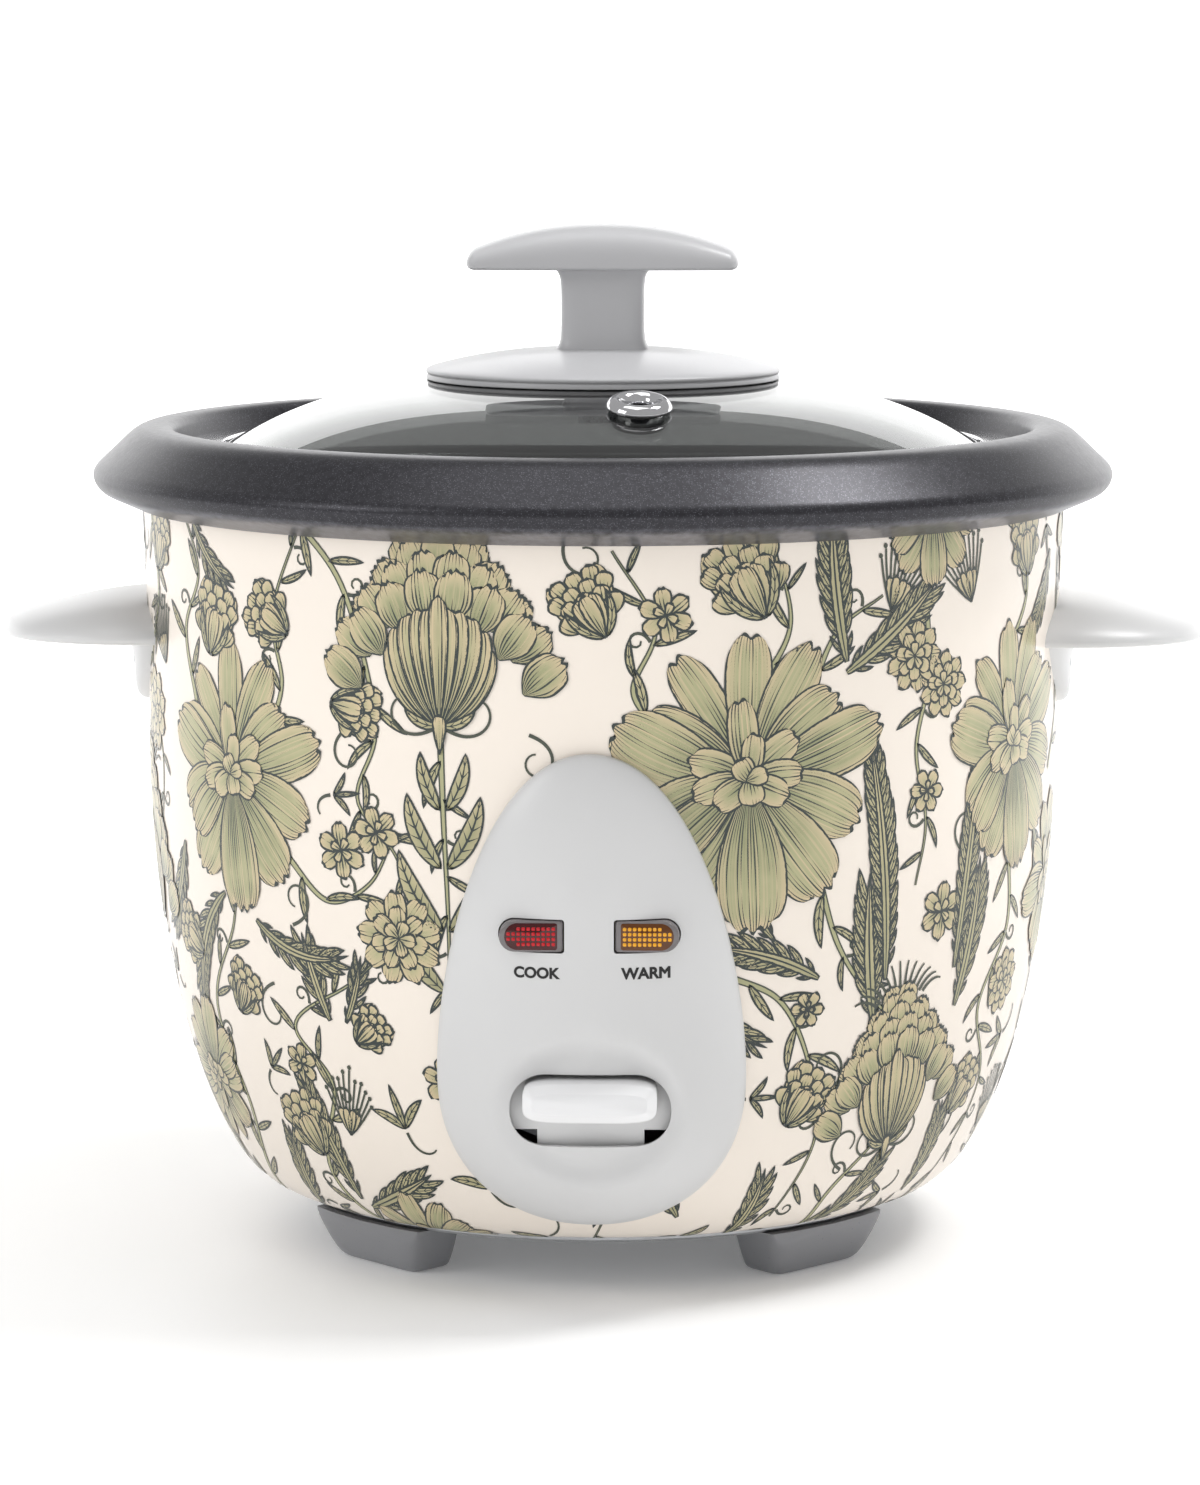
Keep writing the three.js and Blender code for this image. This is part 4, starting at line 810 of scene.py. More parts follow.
# ---------------------------------------------------------------- drum
@dataclass
class Drum:
    """The printed steel drum, straight above and rounded in below.

    The wall's radius at a height is R - (R - Rb)(1 - (1 - u^n)^(1/m)), where u runs from 0 at the
    start of the bend to 1 at the bottom edge.
    """

    radius: float = 92.0
    top: float = 150.0
    bottom: float = 11.4
    bend_top: float = 109.0
    taper: float = 0.7
    foot_radius: float = 67.0
    drop: float = 2.21
    round: float = 1.72
    wall: float = 0.9
    lever_opening: tuple[float, float, float] = (16.6, 27.0, 56.0)
    socket_opening: tuple[float, float, float] = (15.6, 25.0, 48.0)
    segments: int = 288

    def radius_at(self, z: Any) -> Any:
        """The outside radius at a height, both in millimetres.

        Args:
            z: Height in millimetres.

        Returns:
            The radius.
        """
        z = np.asarray(z, float)
        straight = self.radius - self.taper * (self.top - z) / (self.top - self.bend_top)
        u = np.clip((self.bend_top - z) / (self.bend_top - self.bottom), 0.0, 1.0)
        waist = self.radius - self.taper
        bent = waist - (waist - self.foot_radius) * (1 - (1 - u**self.drop) ** (1 / self.round))
        return np.where(z >= self.bend_top, straight, bent)

    def open_at(self, points: Array, margin: float = 0.0) -> Array:
        """Whether points lie in the lever's opening in front or the socket's opening behind.

        Each opening is half its width, its lowest and its highest height.

        Args:
            points: Points, one row each.
            margin: How much wider than the openings to look.

        Returns:
            True for each point that does.
        """
        found = np.zeros(len(points), bool)
        for (half, low, high), ahead in ((self.lever_opening, points[:, 1] < 0),
                                         (self.socket_opening, points[:, 1] > 0)):
            level = (points[:, 2] > low - margin) & (points[:, 2] < high + margin)
            found |= (np.abs(points[:, 0]) - margin < half) & level & ahead
        return found

    def wall_line(self, steps: int = 700) -> tuple[Array, Array, Array]:
        """The wall's height, radius and distance along it, counted down from the top's own height.

        Args:
            steps: Number of points.

        Returns:
            Height, radius and distance arrays.
        """
        t = np.linspace(0.0, 1.0, steps)
        z = self.top - (self.top - self.bottom) * (1 - (1 - t) ** 1.6)
        r = self.radius_at(z)
        step = np.hypot(np.diff(z), np.diff(r))
        return z, r, self.top - np.concatenate([[0.0], np.cumsum(step)])

    def build(self, material: Material) -> Piece:
        """Makes the drum with its openings for the lever and the socket.

        Args:
            material: The enamel.

        Returns:
            The drum.
        """
        t = np.linspace(0.0, 1.0, 70)
        z = self.top - (self.top - self.bottom) * (1 - (1 - t) ** 1.5)
        line = np.stack([self.radius_at(z), z], -1)
        turn = np.array([[66.3, self.bottom - 0.02], [65.2, self.bottom + 0.1], [62.0, self.bottom + 0.15]])
        points, faces = turned(np.vstack([line, turn]), self.segments)
        flat = points.reshape(-1, 3)
        piece = mesh_object("drum_shell", flat, faces[~self.open_at(flat[faces].mean(axis=1))], material)
        solidify(piece, self.wall)
        return placed(piece, "base", "printed_enamel", "outer_shell")


# ---------------------------------------------------------------- print
@dataclass
class PrintSheet:
    """Collects printed shapes in the drum's own flat coordinates and lays them on its wall.

    Across is millimetres round the drum from the front, and up is millimetres along the wall, equal to
    the height at the top edge. Each shape is a blade: a spine with a half width to either side,
    P(u, v) = spine(u) + v w(u) normal(u).
    """

    drum: Drum
    seed: int = 7
    lift: float = 0.06
    layer_gap: float = 0.016
    shapes: dict[Motif, list[dict[str, Array]]] = field(default_factory=lambda: {m: [] for m in Motif})

    def __post_init__(self) -> None:
        """Starts the chance numbers."""
        self.chance = np.random.default_rng(self.seed)

    def blade(self, motif: Motif, spine: Array, width: Array, layer: float, lanes: float = 0.0,
              lobes: float = 0.0, lobe_depth: float = 0.0, lobe_turn: float = 0.0, beats: float = 0.0,
              columns: int = 0) -> None:
        """Adds one blade.

        A lobed blade's tip is pushed out by depth (0.9 |sin(pi lobes v / 2 + turn)| + 1.1 cos(pi v / 2)^0.6),
        which grows as u^4.

        Args:
            motif: How it is filled.
            spine: Points along its middle.
            width: Half width at each point.
            layer: Its place in the stack; higher covers lower.
            lanes: Drawn lines on each side of the middle; 0 makes the lane run from -1 to 1.
            lobes: Lobes across the tip.
            lobe_depth: How far a lobe stands out, in millimetres.
            lobe_turn: Where the lobes start.
            beats: Side veins along the blade.
            columns: Points across, or 0 to choose by width.
        """
        widest = float(width.max())
        columns = columns or (3 if widest < 0.8 else 5 if widest < 2.0 else 9 if widest < 4 else 15)
        ahead = np.gradient(spine, axis=0)
        ahead /= np.maximum(np.linalg.norm(ahead, axis=1, keepdims=True), 1e-9)
        side = np.stack([-ahead[:, 1], ahead[:, 0]], -1)
        v = np.linspace(-1.0, 1.0, columns)
        u = np.linspace(0.0, 1.0, len(spine))
        crown = lobe_depth * (0.9 * np.abs(np.sin(math.pi * lobes * v / 2 + lobe_turn)) + 1.1 * np.cos(
            math.pi * v / 2) ** 0.6 - 0.7)
        push = crown[None, :] * (u**4)[:, None]
        points = (spine[:, None] + side[:, None] * (width[:, None] * v)[..., None]
                  + ahead[:, None] * push[..., None])
        reach = np.linalg.norm(spine[-1] - spine[0])
        from_side = width[:, None] * (1 - np.abs(v))
        from_tip = (1 - u)[:, None] * reach * 0.9 + 0.0 * v
        lane = (v * lanes if lanes else v) + 0.0 * u[:, None]
        beat = (u * beats)[:, None] + 0.0 * v
        self.shapes[motif].append({
            "points": points, "layer": np.full(lane.shape, float(layer)),
            "edge": np.minimum(from_side, from_tip),
            "along": u[:, None] + 0.0 * v, "lane": lane, "beat": beat,
            "tone": np.full(lane.shape, self.chance.random())})

    def arc(self, start: Sequence[float], heading: float, length: float, bend: float, count: int) -> Array:
        """A spine that turns steadily: its heading at u is heading + bend u.

        Args:
            start: First point.
            heading: Direction in degrees, 0 across and 90 up.
            length: Length in millimetres.
            bend: Whole turn in degrees.
            count: Number of points.

        Returns:
            The spine.
        """
        u = np.linspace(0.0, 1.0, count)
        angle = np.radians(heading + bend * u)
        step = np.stack([np.cos(angle), np.sin(angle)], -1) * length / (count - 1)
        return np.array(start, float) + np.vstack([[0.0, 0.0], np.cumsum((step[1:] + step[:-1]) / 2, axis=0)])

    def petal(self, start: Sequence[float], heading: float, length: float, half: float, layer: float,
              bend: float = 0.0, lobes: float = 2.5, full: float = 0.7, depth: float = 0.07) -> None:
        """A petal, narrow at its root and blunt at its tip, whose tip is cut into shallow lobes.

        Args:
            start: Its root.
            heading: Direction in degrees.
            length: Length in millimetres.
            half: Half of its greatest width.
            layer: Its place in the stack.
            bend: How far it turns, in degrees.
            lobes: Number of lobes at the tip.
            full: Where along it is widest.
            depth: Depth of the lobes as a share of the length.
        """
        count = max(10, int(length * 1.7))
        u = np.linspace(0.0, 1.0, count) ** 0.85
        rise = np.sin(np.minimum(u / full, 1.0) * math.pi / 2) ** 1.15
        fall = np.sqrt(np.clip(1 - (np.maximum(u - full, 0.0) / (1 - full)) ** 2.8, 0.0, 1.0))
        width = half * (0.09 + 0.91 * rise) * (0.5 + 0.5 * fall)
        self.blade(Motif.PETAL, self.arc(start, heading, length, bend, count), width, layer,
                   lanes=max(1.6, half / 0.72), lobes=lobes, lobe_depth=depth * length,
                   lobe_turn=self.chance.uniform(0.0, TURN))

    def leaf(self, start: Sequence[float], heading: float, length: float, half: float, layer: float,
             bend: float = 0.0) -> None:
        """A plain pointed leaf: its half width at u is h u^0.62 (1 - u)^0.78.

        Args:
            start: Where it starts.
            heading: Its direction in degrees.
            length: Its length.
            half: Half its width.
            layer: Its place in the order of layers.
            bend: How far it turns along its length, in degrees.
        """
        count = max(11, int(length * 1.4))
        u = np.linspace(0.0, 1.0, count)
        width = half * 1.9 * u**0.62 * (1 - u) ** 0.78
        self.blade(Motif.LEAF, self.arc(start, heading, length, bend, count), width, layer,
                   beats=max(3.0, round(length / 2.2)))

    def toothed_leaf(self, start: Sequence[float], heading: float, length: float, half: float, layer: float,
                     bend: float = 0.0) -> None:
        """A long leaf with forward-pointing teeth, each a narrow blade that leaves the midrib.

        Args:
            start: Its root.
            heading: Direction in degrees.
            length: Length in millimetres.
            half: Half of its greatest width.
            layer: Its place in the stack.
            bend: How far it turns, in degrees.
        """
        teeth = max(5, round(length / 3.3))
        path = self.arc(start, heading, length, bend, 60)
        for i in range(teeth):
            u = 0.06 + 0.84 * i / teeth
            spread = half * 2.3 * (u + 0.04) ** 0.55 * (1 - u) ** 0.7
            lean = 44.0 - 16.0 * u
            for side in (-1, 1):
                reach = spread / math.sin(math.radians(lean)) * self.chance.uniform(0.9, 1.1)
                self.leaf(path[int(u * 59)], heading + bend * u + side * lean, reach, min(reach * 0.17, 1.25),
                          layer + 0.02 * i + 0.01 * side, bend=-side * 26)
        u = np.linspace(0.0, 1.0, 40)
        self.blade(Motif.LEAF, self.arc(start, heading, length, bend, 40),
                   half * 0.5 * (u + 0.02) ** 0.4 * (1 - u) ** 0.7, layer + 0.5, beats=0.1)

    def stem(self, path: Array, width: float, layer: float) -> None:
        """A stem along a path, thinning towards its end: an ink ribbon with a sage core."""
        u = np.linspace(0.0, 1.0, len(path))
        self.blade(Motif.INK, path, width * (1 - 0.6 * u), layer, columns=3)
        if width > 0.5:
            self.blade(Motif.CORE, path, (width * (1 - 0.6 * u) - 0.3).clip(0.03), layer + 0.3, columns=3)

    def curl(self, start: Sequence[float], heading: float, length: float, bend: float, layer: float) -> None:
        """A fine tendril that winds up.

        Args:
            start: Where it starts.
            heading: Its direction in degrees.
            length: Its length.
            bend: How far it turns along its length, in degrees.
            layer: Its place in the order of layers.
        """
        count = max(10, int(length * 1.5))
        u = np.linspace(0.0, 1.0, count)
        angle = np.radians(heading + bend * u**1.7)
        step = np.stack([np.cos(angle), np.sin(angle)], -1) * length / (count - 1)
        path = np.array(start, float) + np.cumsum(step, axis=0)
        self.blade(Motif.INK, path, 0.36 * (1 - 0.5 * u), layer, columns=3)

    def open_flower(self, centre: Sequence[float], radius: float, turn: float, layer: float) -> None:
        """An open flower: a fan of broad petals hangs below, narrow ones stand above, small ones fold inside.

        Args:
            centre: Its middle.
            radius: Reach of its longest petals.
            turn: How far the whole flower is turned, in degrees.
            layer: Its lowest place in the stack.
        """
        outer = (  # heading, length, half width, bend, lobes
            (118, 0.92, 0.17, 8, 1.5), (92, 1.0, 0.19, -4, 1.5), (66, 0.98, 0.2, -8, 2.0),
            (142, 0.86, 0.2, 18, 2.0),
            (44, 0.86, 0.22, -10, 2.5), (14, 1.0, 0.24, 10, 2.5), (168, 0.98, 0.26, -22, 2.5),
            (-14, 0.9, 0.24, -16, 2.5), (196, 0.8, 0.24, 20, 2.5), (-118, 0.98, 0.26, -10, 2.5),
            (-58, 0.98, 0.27, 10, 3.0), (-146, 0.82, 0.2, 14, 2.0), (-88, 1.08, 0.29, 2, 3.5))
        for i, (heading, length, half, bend, lobes) in enumerate(outer):
            a = math.radians(heading + turn)
            root = (centre[0] + 0.06 * radius * math.cos(a), centre[1] + 0.06 * radius * math.sin(a))
            grow = self.chance.uniform(0.93, 1.06)
            self.petal(root, heading + turn, radius * length * grow, radius * half, layer + 0.42 * i,
                       bend=bend, lobes=lobes, full=0.74)
        inner = ((150, 0.5, 0.13, 20), (100, 0.6, 0.13, -6), (50, 0.5, 0.13, -20), (12, 0.44, 0.12, -14),
                 (186, 0.46, 0.12, 16), (-30, 0.36, 0.12, 10), (-140, 0.34, 0.12, -10), (80, 0.36, 0.1, 6),
                 (-80, 0.22, 0.11, 0), (120, 0.2, 0.1, 0), (20, 0.18, 0.08, 0))
        for i, (heading, length, half, bend) in enumerate(inner):
            a = math.radians(heading + turn)
            root = (centre[0] - 0.03 * radius * math.cos(a), centre[1] - 0.03 * radius * math.sin(a))
            self.petal(root, heading + turn, radius * length, radius * half, layer + 6.0 + 0.42 * i,
                       bend=bend, lobes=1.5, full=0.66)

    def palmette(self, root: Sequence[float], height: float, turn: float, layer: float) -> None:
        """A tall blossom: a ribbed cup of narrow petals, with rows of ruffled scallops above and beside it.

        Args:
            root: Where it meets its stem.
            height: From the root to the top.
            turn: Direction of its axis in degrees.
            layer: Its lowest place in the stack.
        """
        axis = np.array([math.cos(math.radians(turn)), math.sin(math.radians(turn))])
        across = np.array([-axis[1], axis[0]])
        root = np.array(root, float)
        for i in range(13):
            spread = (i - 6) / 6
            start = root + axis * height * (0.9 - 0.05 * abs(spread)) + across * spread * height * 0.16
            self.curl(start, turn + 50 * spread, height * 0.16, 60 * spread, layer)
        rows = ((0.94, 0.13, 4), (0.87, 0.24, 6), (0.79, 0.35, 7), (0.70, 0.45, 8), (0.60, 0.52, 8))
        for row, (along, half, count) in enumerate(rows):
            for k in range(count):
                i = (k // 2) if k % 2 else count - 1 - k // 2
                spread = (i - (count - 1) / 2) / ((count - 1) / 2)
                drop = 0.13 * abs(spread) ** 2.0 * (1 + 0.35 * row)
                start = root + axis * height * (along - 0.14 - drop) + across * spread * height * half * 0.74
                self.petal(start, turn + 46 * spread, height * (0.15 + 0.016 * row),
                           height * (0.078 + 0.004 * row), layer + 1 + row * 1.5 + 0.14 * k, bend=8 * spread,
                           lobes=3, full=0.6, depth=0.14)
        ribs = ((-1.0, 0.42), (1.0, 0.42), (-0.78, 0.47), (0.78, 0.47), (-0.54, 0.5), (0.54, 0.5),
                (-0.3, 0.51), (0.3, 0.51), (-0.12, 0.51), (0.12, 0.51), (0.0, 0.56))
        for k, (spread, reach) in enumerate(ribs):
            self.petal(root + across * spread * height * 0.02, turn + 60 * spread, height * reach,
                       height * (0.066 if k < 10 else 0.05), layer + 9 + 0.4 * k, bend=-64 * spread,
                       lobes=1.5, full=0.8, depth=0.03)
        for side in (-1, 1):
            self.leaf(root, turn + side * 100, height * 0.2, height * 0.035, layer + 13.6, bend=-side * 70)
            self.curl(root, turn + side * 120, height * 0.42, side * -230, layer + 0.5)
        self.petal(root - axis * height * 0.13, turn, height * 0.17, height * 0.036, layer + 14, lobes=0.5,
                   full=0.9)

    def bud(self, root: Sequence[float], turn: float, size: float, layer: float) -> None:
        """A half-open bud: a head of small scales between two outer petals, in a leafy cup.

        Args:
            root: Where it starts.
            turn: Its direction in degrees.
            size: Its length.
            layer: Its place in the order of layers.
        """
        for spread in (-1, 1):
            self.petal(root, turn + 34 * spread, size * 0.95, size * 0.17, layer + 0.2, bend=-30 * spread,
                       lobes=1.5)
        head = math.radians(turn)
        axis, across = np.array([math.cos(head), math.sin(head)]), np.array([-math.sin(head), math.cos(head)])
        for row in range(4):
            count = 4 if row % 2 else 3
            for i in range(count):
                spread = (i - (count - 1) / 2) / 1.5
                start = np.array(root) + axis * size * (0.66 - 0.15 * row) + across * spread * size * 0.26
                self.petal(start, turn + 30 * spread, size * 0.3, size * 0.13,
                           layer + 0.6 + 0.5 * row + 0.1 * i, lobes=1.5)
        for spread in (-0.6, 0.6, 0.0):
            self.petal(root, turn + 26 * spread, size * 0.6, size * 0.13, layer + 3 - abs(spread),
                       bend=-14 * spread, lobes=1.5)
        for spread in (-1, 1):
            self.leaf(root, turn + 58 * spread, size * 0.7, size * 0.09, layer + 3.2, bend=-60 * spread)

    def floret(self, centre: Sequence[float], radius: float, layer: float) -> None:
        """A small round flower: two rings of short lobed petals.

        Args:
            centre: Its middle.
            radius: Its radius.
            layer: Its place in the order of layers.
        """
        turn = self.chance.uniform(0, 60)
        full, plain = ((9, 1.0, 0.3), (7, 0.7, 0.24), (5, 0.42, 0.18)), ((6, 1.0, 0.36), (4, 0.5, 0.2))
        rings = full if radius > 6 else plain
        for ring, (count, reach, half) in enumerate(rings):
            for i in range(count):
                self.petal(centre, turn + 25 * ring + 360 * i / count, radius * reach, radius * half,
                           layer + 1.4 * ring + (i % 3) * 0.3, lobes=1.5, depth=0.09)

    def thistle(self, root: Sequence[float], turn: float, size: float, layer: float) -> None:
        """A tuft of stamens, each with a small knob, that stands in a narrow cup.

        Args:
            root: Where it starts.
            turn: Its direction in degrees.
            size: Its length.
            layer: Its place in the order of layers.
        """
        for i in range(11):
            spread = (i - 5) / 5
            heading = turn + 42 * spread
            length = size * (1.0 - 0.22 * spread**2) * self.chance.uniform(0.85, 1.05)
            path = self.arc(root, heading, length, -16 * spread, 10)
            self.blade(Motif.INK, path, np.full(10, 0.24), layer, columns=3)
            self.blade(Motif.INK, self.arc(path[-1], heading, 1.1, 0.0, 5),
                       0.5 * np.sin(np.linspace(0.2, 2.94, 5)), layer + 0.1, columns=3)
        for spread in (-1, -0.4, 0.4, 1):
            self.petal(root, turn + 24 * spread, size * 0.42, size * 0.08,
                       layer + 1 - 0.3 * abs(spread), lobes=0.5)

    def spray(self, path: Array, layer: float, spacing: float = 8.0, size: float = 8.5,
              width: float = 0.55) -> None:
        """A stem with leaves to either side by turns.

        Args:
            path: The stem's path.
            layer: The stem's place in the stack.
            spacing: Distance between leaves.
            size: A leaf's length.
            width: The stem's half width.
        """
        self.stem(path, width, layer)
        step = np.linalg.norm(np.diff(path, axis=0), axis=1)
        total = np.concatenate([[0.0], np.cumsum(step)])
        for i, at in enumerate(np.arange(spacing * 0.7, total[-1] - 1.0, spacing)):
            k = int(np.searchsorted(total, at))
            ahead = path[min(k + 1, len(path) - 1)] - path[max(k - 1, 0)]
            heading = math.degrees(math.atan2(ahead[1], ahead[0]))
            side = 1 if i % 2 else -1
            length = size * self.chance.uniform(0.75, 1.15) * (1 - 0.3 * at / total[-1])
            self.leaf(path[k], heading + side * self.chance.uniform(32, 58), length, length * 0.15,
                      layer + 0.8, bend=side * self.chance.uniform(-50, 20))
            if i % 3 == 2:
                self.curl(path[k], heading - side * 50, size * 0.9, -side * 320, layer + 0.2)

    def lay(self) -> list[Piece]:
        """Wraps every shape on the drum and makes one piece for each kind of fill.

        Returns:
            The pieces.
        """
        z_line, r_line, up_line = self.drum.wall_line()
        slope = np.gradient(r_line) / np.hypot(np.gradient(r_line), np.gradient(z_line))
        pieces = []
        for motif, shapes in self.shapes.items():
            points, faces, total = [], [], 0
            for shape in shapes:
                rows, columns = shape["edge"].shape
                faces.append(grid_faces(rows, columns) + total)
                total += rows * columns
            flat = {key: np.concatenate([s[key].reshape(-1) for s in shapes])
                    for key in ("layer", "edge", "along", "lane", "tone", "beat")}
            place = np.concatenate([s["points"].reshape(-1, 2) for s in shapes])
            up = np.clip(place[:, 1], up_line[-1] + 0.2, up_line[0])
            order = up_line[::-1]
            z, r = np.interp(up, order, z_line[::-1]), np.interp(up, order, r_line[::-1])
            tilt = np.interp(up, order, slope[::-1])
            lift = self.lift + self.layer_gap * flat["layer"]
            # The outward normal leans down where the wall bends in.
            r = r + lift * np.sqrt(1 - tilt**2)
            z = z + lift * tilt
            angle = place[:, 0] / self.drum.radius
            points = np.stack([r * np.sin(angle), -r * np.cos(angle), z], -1)
            quads = np.concatenate(faces)
            corner = points[quads]
            normal = np.cross(corner[:, 1] - corner[:, 0], corner[:, 3] - corner[:, 0])
            inward = (normal * corner.mean(axis=1) * [1, 1, 0]).sum(axis=1) < 0
            quads[inward] = quads[inward][:, ::-1]
            keep = np.ptp(place[quads][:, :, 1], axis=1) < 60
            below = place[quads][:, :, 1].max(axis=1) > up_line[-1] + 0.25
            above = place[quads][:, :, 1].min(axis=1) < up_line[0] - 0.05
            middle = corner.mean(axis=1)
            shown = keep & below & above & ~self.drum.open_at(middle, 0.4)
            ink = PrintedInk(motif).build()
            for side, half in (("front", middle[:, 1] < 0), ("back", middle[:, 1] >= 0)):
                used, corners = np.unique(quads[shown & half], return_inverse=True)
                piece = mesh_object(f"print_{motif.value}_{side}", points[used], corners.reshape(-1, 4), ink,
                                    closed=False, crease=180.0)
                for key in ("edge", "along", "lane", "tone", "beat"):
                    data = piece.data.attributes.new(key, "FLOAT", "POINT")
                    data.data.foreach_set("value", flat[key][used].astype(np.float32))
                pieces.append(placed(piece, "base", "printed_enamel"))
        return pieces


@dataclass
class BotanicalPrint:
    """The print: one length of pattern, laid twice round the drum."""

    sheet: PrintSheet
    length: float = math.pi * 92.0

    def stems(self, shift: float) -> None:
        """The climbing stems and their leaves.

        Args:
            shift: How far along the print it starts.
        """
        s = self.sheet
        routes = (
            ((-28.5, 112), (-28, 96), (-27.5, 76), (-28, 56)),
            ((-100, 8), (-90, 30), (-94, 52), (-82, 70), (-79, 86)),
            ((-56, 2), (-66, 20), (-58, 40), (-66, 52), (-50, 62), (-40, 70)),
            ((-70, 106), (-64, 118), (-66, 132), (-58, 150)),
            ((-92, 112), (-96, 126), (-90, 138), (-98, 152)),
            ((-62, 152), (-50, 140), (-44, 124), (-42, 110), (-46, 98), (-38, 88), (-34, 76)),
            ((-64, 86), (-54, 78), (-44, 82), (-38, 92)),
            ((14, 112), (8, 120), (12, 132), (4, 146)),
            ((32, 120), (38, 132), (34, 148)),
            ((42, 118), (48, 130), (58, 136)),
            ((44, 86), (50, 70), (60, 58), (70, 52), (78, 46)),
            ((26, 66), (38, 60), (46, 46), (50, 30), (44, 12)),
            ((56, 2), (58, 16), (66, 26), (70, 30)),
            ((69, 134), (70, 120), (67, 106), (70, 92), (68, 80)),
            ((98, 86), (102, 68), (94, 52), (104, 34), (98, 10)),
            ((96, 122), (104, 134), (98, 150)),
            ((128, 4), (120, 24), (130, 42), (127, 58)),
            ((-128, 4), (-136, 26), (-128, 48), (-132, 62)),
            ((-118, 150), (-112, 132), (-120, 116), (-112, 98), (-118, 78)),
            ((4, 98), (-4, 86), (2, 70), (-6, 50), (6, 30), (0, 6)),
            ((122, 96), (132, 112), (126, 130), (136, 148)),
        )
        for i, route in enumerate(routes):
            path = through([(x + shift, y) for x, y in route], 60)
            s.spray(path, 1.0 + 0.1 * (i % 5), spacing=7.2, size=9.8, width=0.74)

    def blossoms(self, shift: float) -> None:
        """The large flowers, the tall blossoms and the small heads.

        Args:
            shift: How far along the print it starts.
        """
        s = self.sheet
        for x, y, height, turn in ((-28.5, 113, 42, 90), (71, 27, 36, 98), (-132, 64, 40, 82)):
            s.palmette((shift + x, y), height, turn, 6)
        for x, y, radius, turn in ((-79, 100, 22, 0), (30, 103, 25, 0), (99, 104, 22, 8), (128, 74, 17, 30),
                                   (-104, 36, 14, 160), (70, 152, 13, 0), (-44, -2, 18, 6),
                                   (140, 146, 14, 180)):
            s.open_flower((shift + x, y), radius, turn, 6)
        for x, y, radius in ((-38, 72, 8.6), (66, 124, 6.6), (74, 118, 6.2), (70, 98, 4.2), (-50, 88, 5.2),
                             (-42, 92, 4.8), (4, 58, 7.0), (104, 56, 6.5), (-118, 108, 8.0), (-30, 44, 5.0),
                             (76, 74, 5.5), (-66, 44, 4.2), (14, 134, 5.0), (44, 58, 3.6)):
            s.floret((shift + x, y), radius, 5)
        for x, y, turn, size in ((-86, 122, 74, 15), (-62, 128, 150, 13), (-52, 116, -10, 12),
                                 (3, 130, 120, 14),
                                 (33, 133, 116, 17), (-66, 24, 110, 15), (42, 34, 60, 14), (-50, 50, 40, 10),
                                 (8, 24, 100, 13), (92, 30, 60, 13), (-96, 62, 150, 13), (104, 136, 100, 14),
                                 (-112, 136, 70, 13), (134, 26, 80, 13), (-84, 52, 60, 12)):
            s.bud((shift + x, y), turn, size, 5)
        for x, y, turn, size in ((60, 133, 70, 15), (82, 133, 110, 15), (-56, 30, 78, 14), (118, 22, 100, 15),
                                 (-108, 118, 110, 14)):
            s.thistle((shift + x, y), turn, size, 4.4)

    def leaves(self, shift: float) -> None:
        """The large toothed leaves and the tendrils.

        Args:
            shift: How far along the print it starts.
        """
        s = self.sheet
        for x, y, heading, size, half, bend in (
                (60, 54, 104, 30, 5.6, -14), (62, 62, 94, 52, 4.8, 8), (84, 54, 76, 30, 5.4, 14),
                (82, 62, 88, 52, 4.8, -10), (50, 124, 104, 30, 5.2, -14), (50, 122, 30, 28, 5.2, 14),
                (-84, 76, 214, 34, 5.0, 50), (-74, 72, -40, 26, 4.4, 60), (-58, 12, 22, 24, 5.2, 12),
                (-60, 14, 98, 30, 4.6, 14), (20, 14, 118, 22, 4.6, 20), (60, 8, 40, 22, 4.4, 30),
                (-56, 54, 112, 18, 4.4, -10), (-52, 54, 60, 15, 3.4, 20), (46, 64, 150, 24, 4.6, 24),
                (36, 72, 130, 22, 3.6, 20), (-27.5, 62, 36, 20, 3.0, 40), (-28.5, 62, 144, 20, 3.0, -40),
                (-27.5, 74, 40, 18, 3.0, 40), (-28.5, 74, 140, 18, 3.0, -40), (-27.5, 86, 44, 16, 2.8, 40),
                (-28.5, 86, 136, 16, 2.8, -40), (-27.5, 97, 50, 12, 2.2, 40), (-28.5, 97, 130, 12, 2.2, -40),
                (112, 86, 300, 26, 4.8, 40), (-100, 84, 250, 26, 4.8, -36), (18, 66, 300, 24, 4.2, 40),
                (88, 12, 80, 22, 4.6, 20), (-92, 148, 300, 20, 3.8, 40), (118, 140, 250, 22, 4.2, -40),
                (-110, 16, 120, 26, 4.8, -20), (-80, 8, 70, 22, 4.6, 20), (34, 6, 60, 20, 4.4, 30)):
            draw = s.leaf if -29 <= x <= -27 else s.toothed_leaf
            draw((shift + x, y), heading, size, half, 4.6 + 0.02 * size, bend=bend)
        for x, y, heading, bend in ((-46, 112, 200, 330), (-12, 112, -20, -330), (12, 84, 200, 300),
                                    (58, 84, -20, -300), (-64, 72, 20, 320), (84, 84, 160, -300),
                                    (-4, 150, 250, 300), (52, 40, 60, 300), (-70, 60, 200, 280),
                                    (60, 22, 150, -280), (88, 24, 10, 280)):
            s.curl((shift + x, y), heading, 18, bend, 3.0)

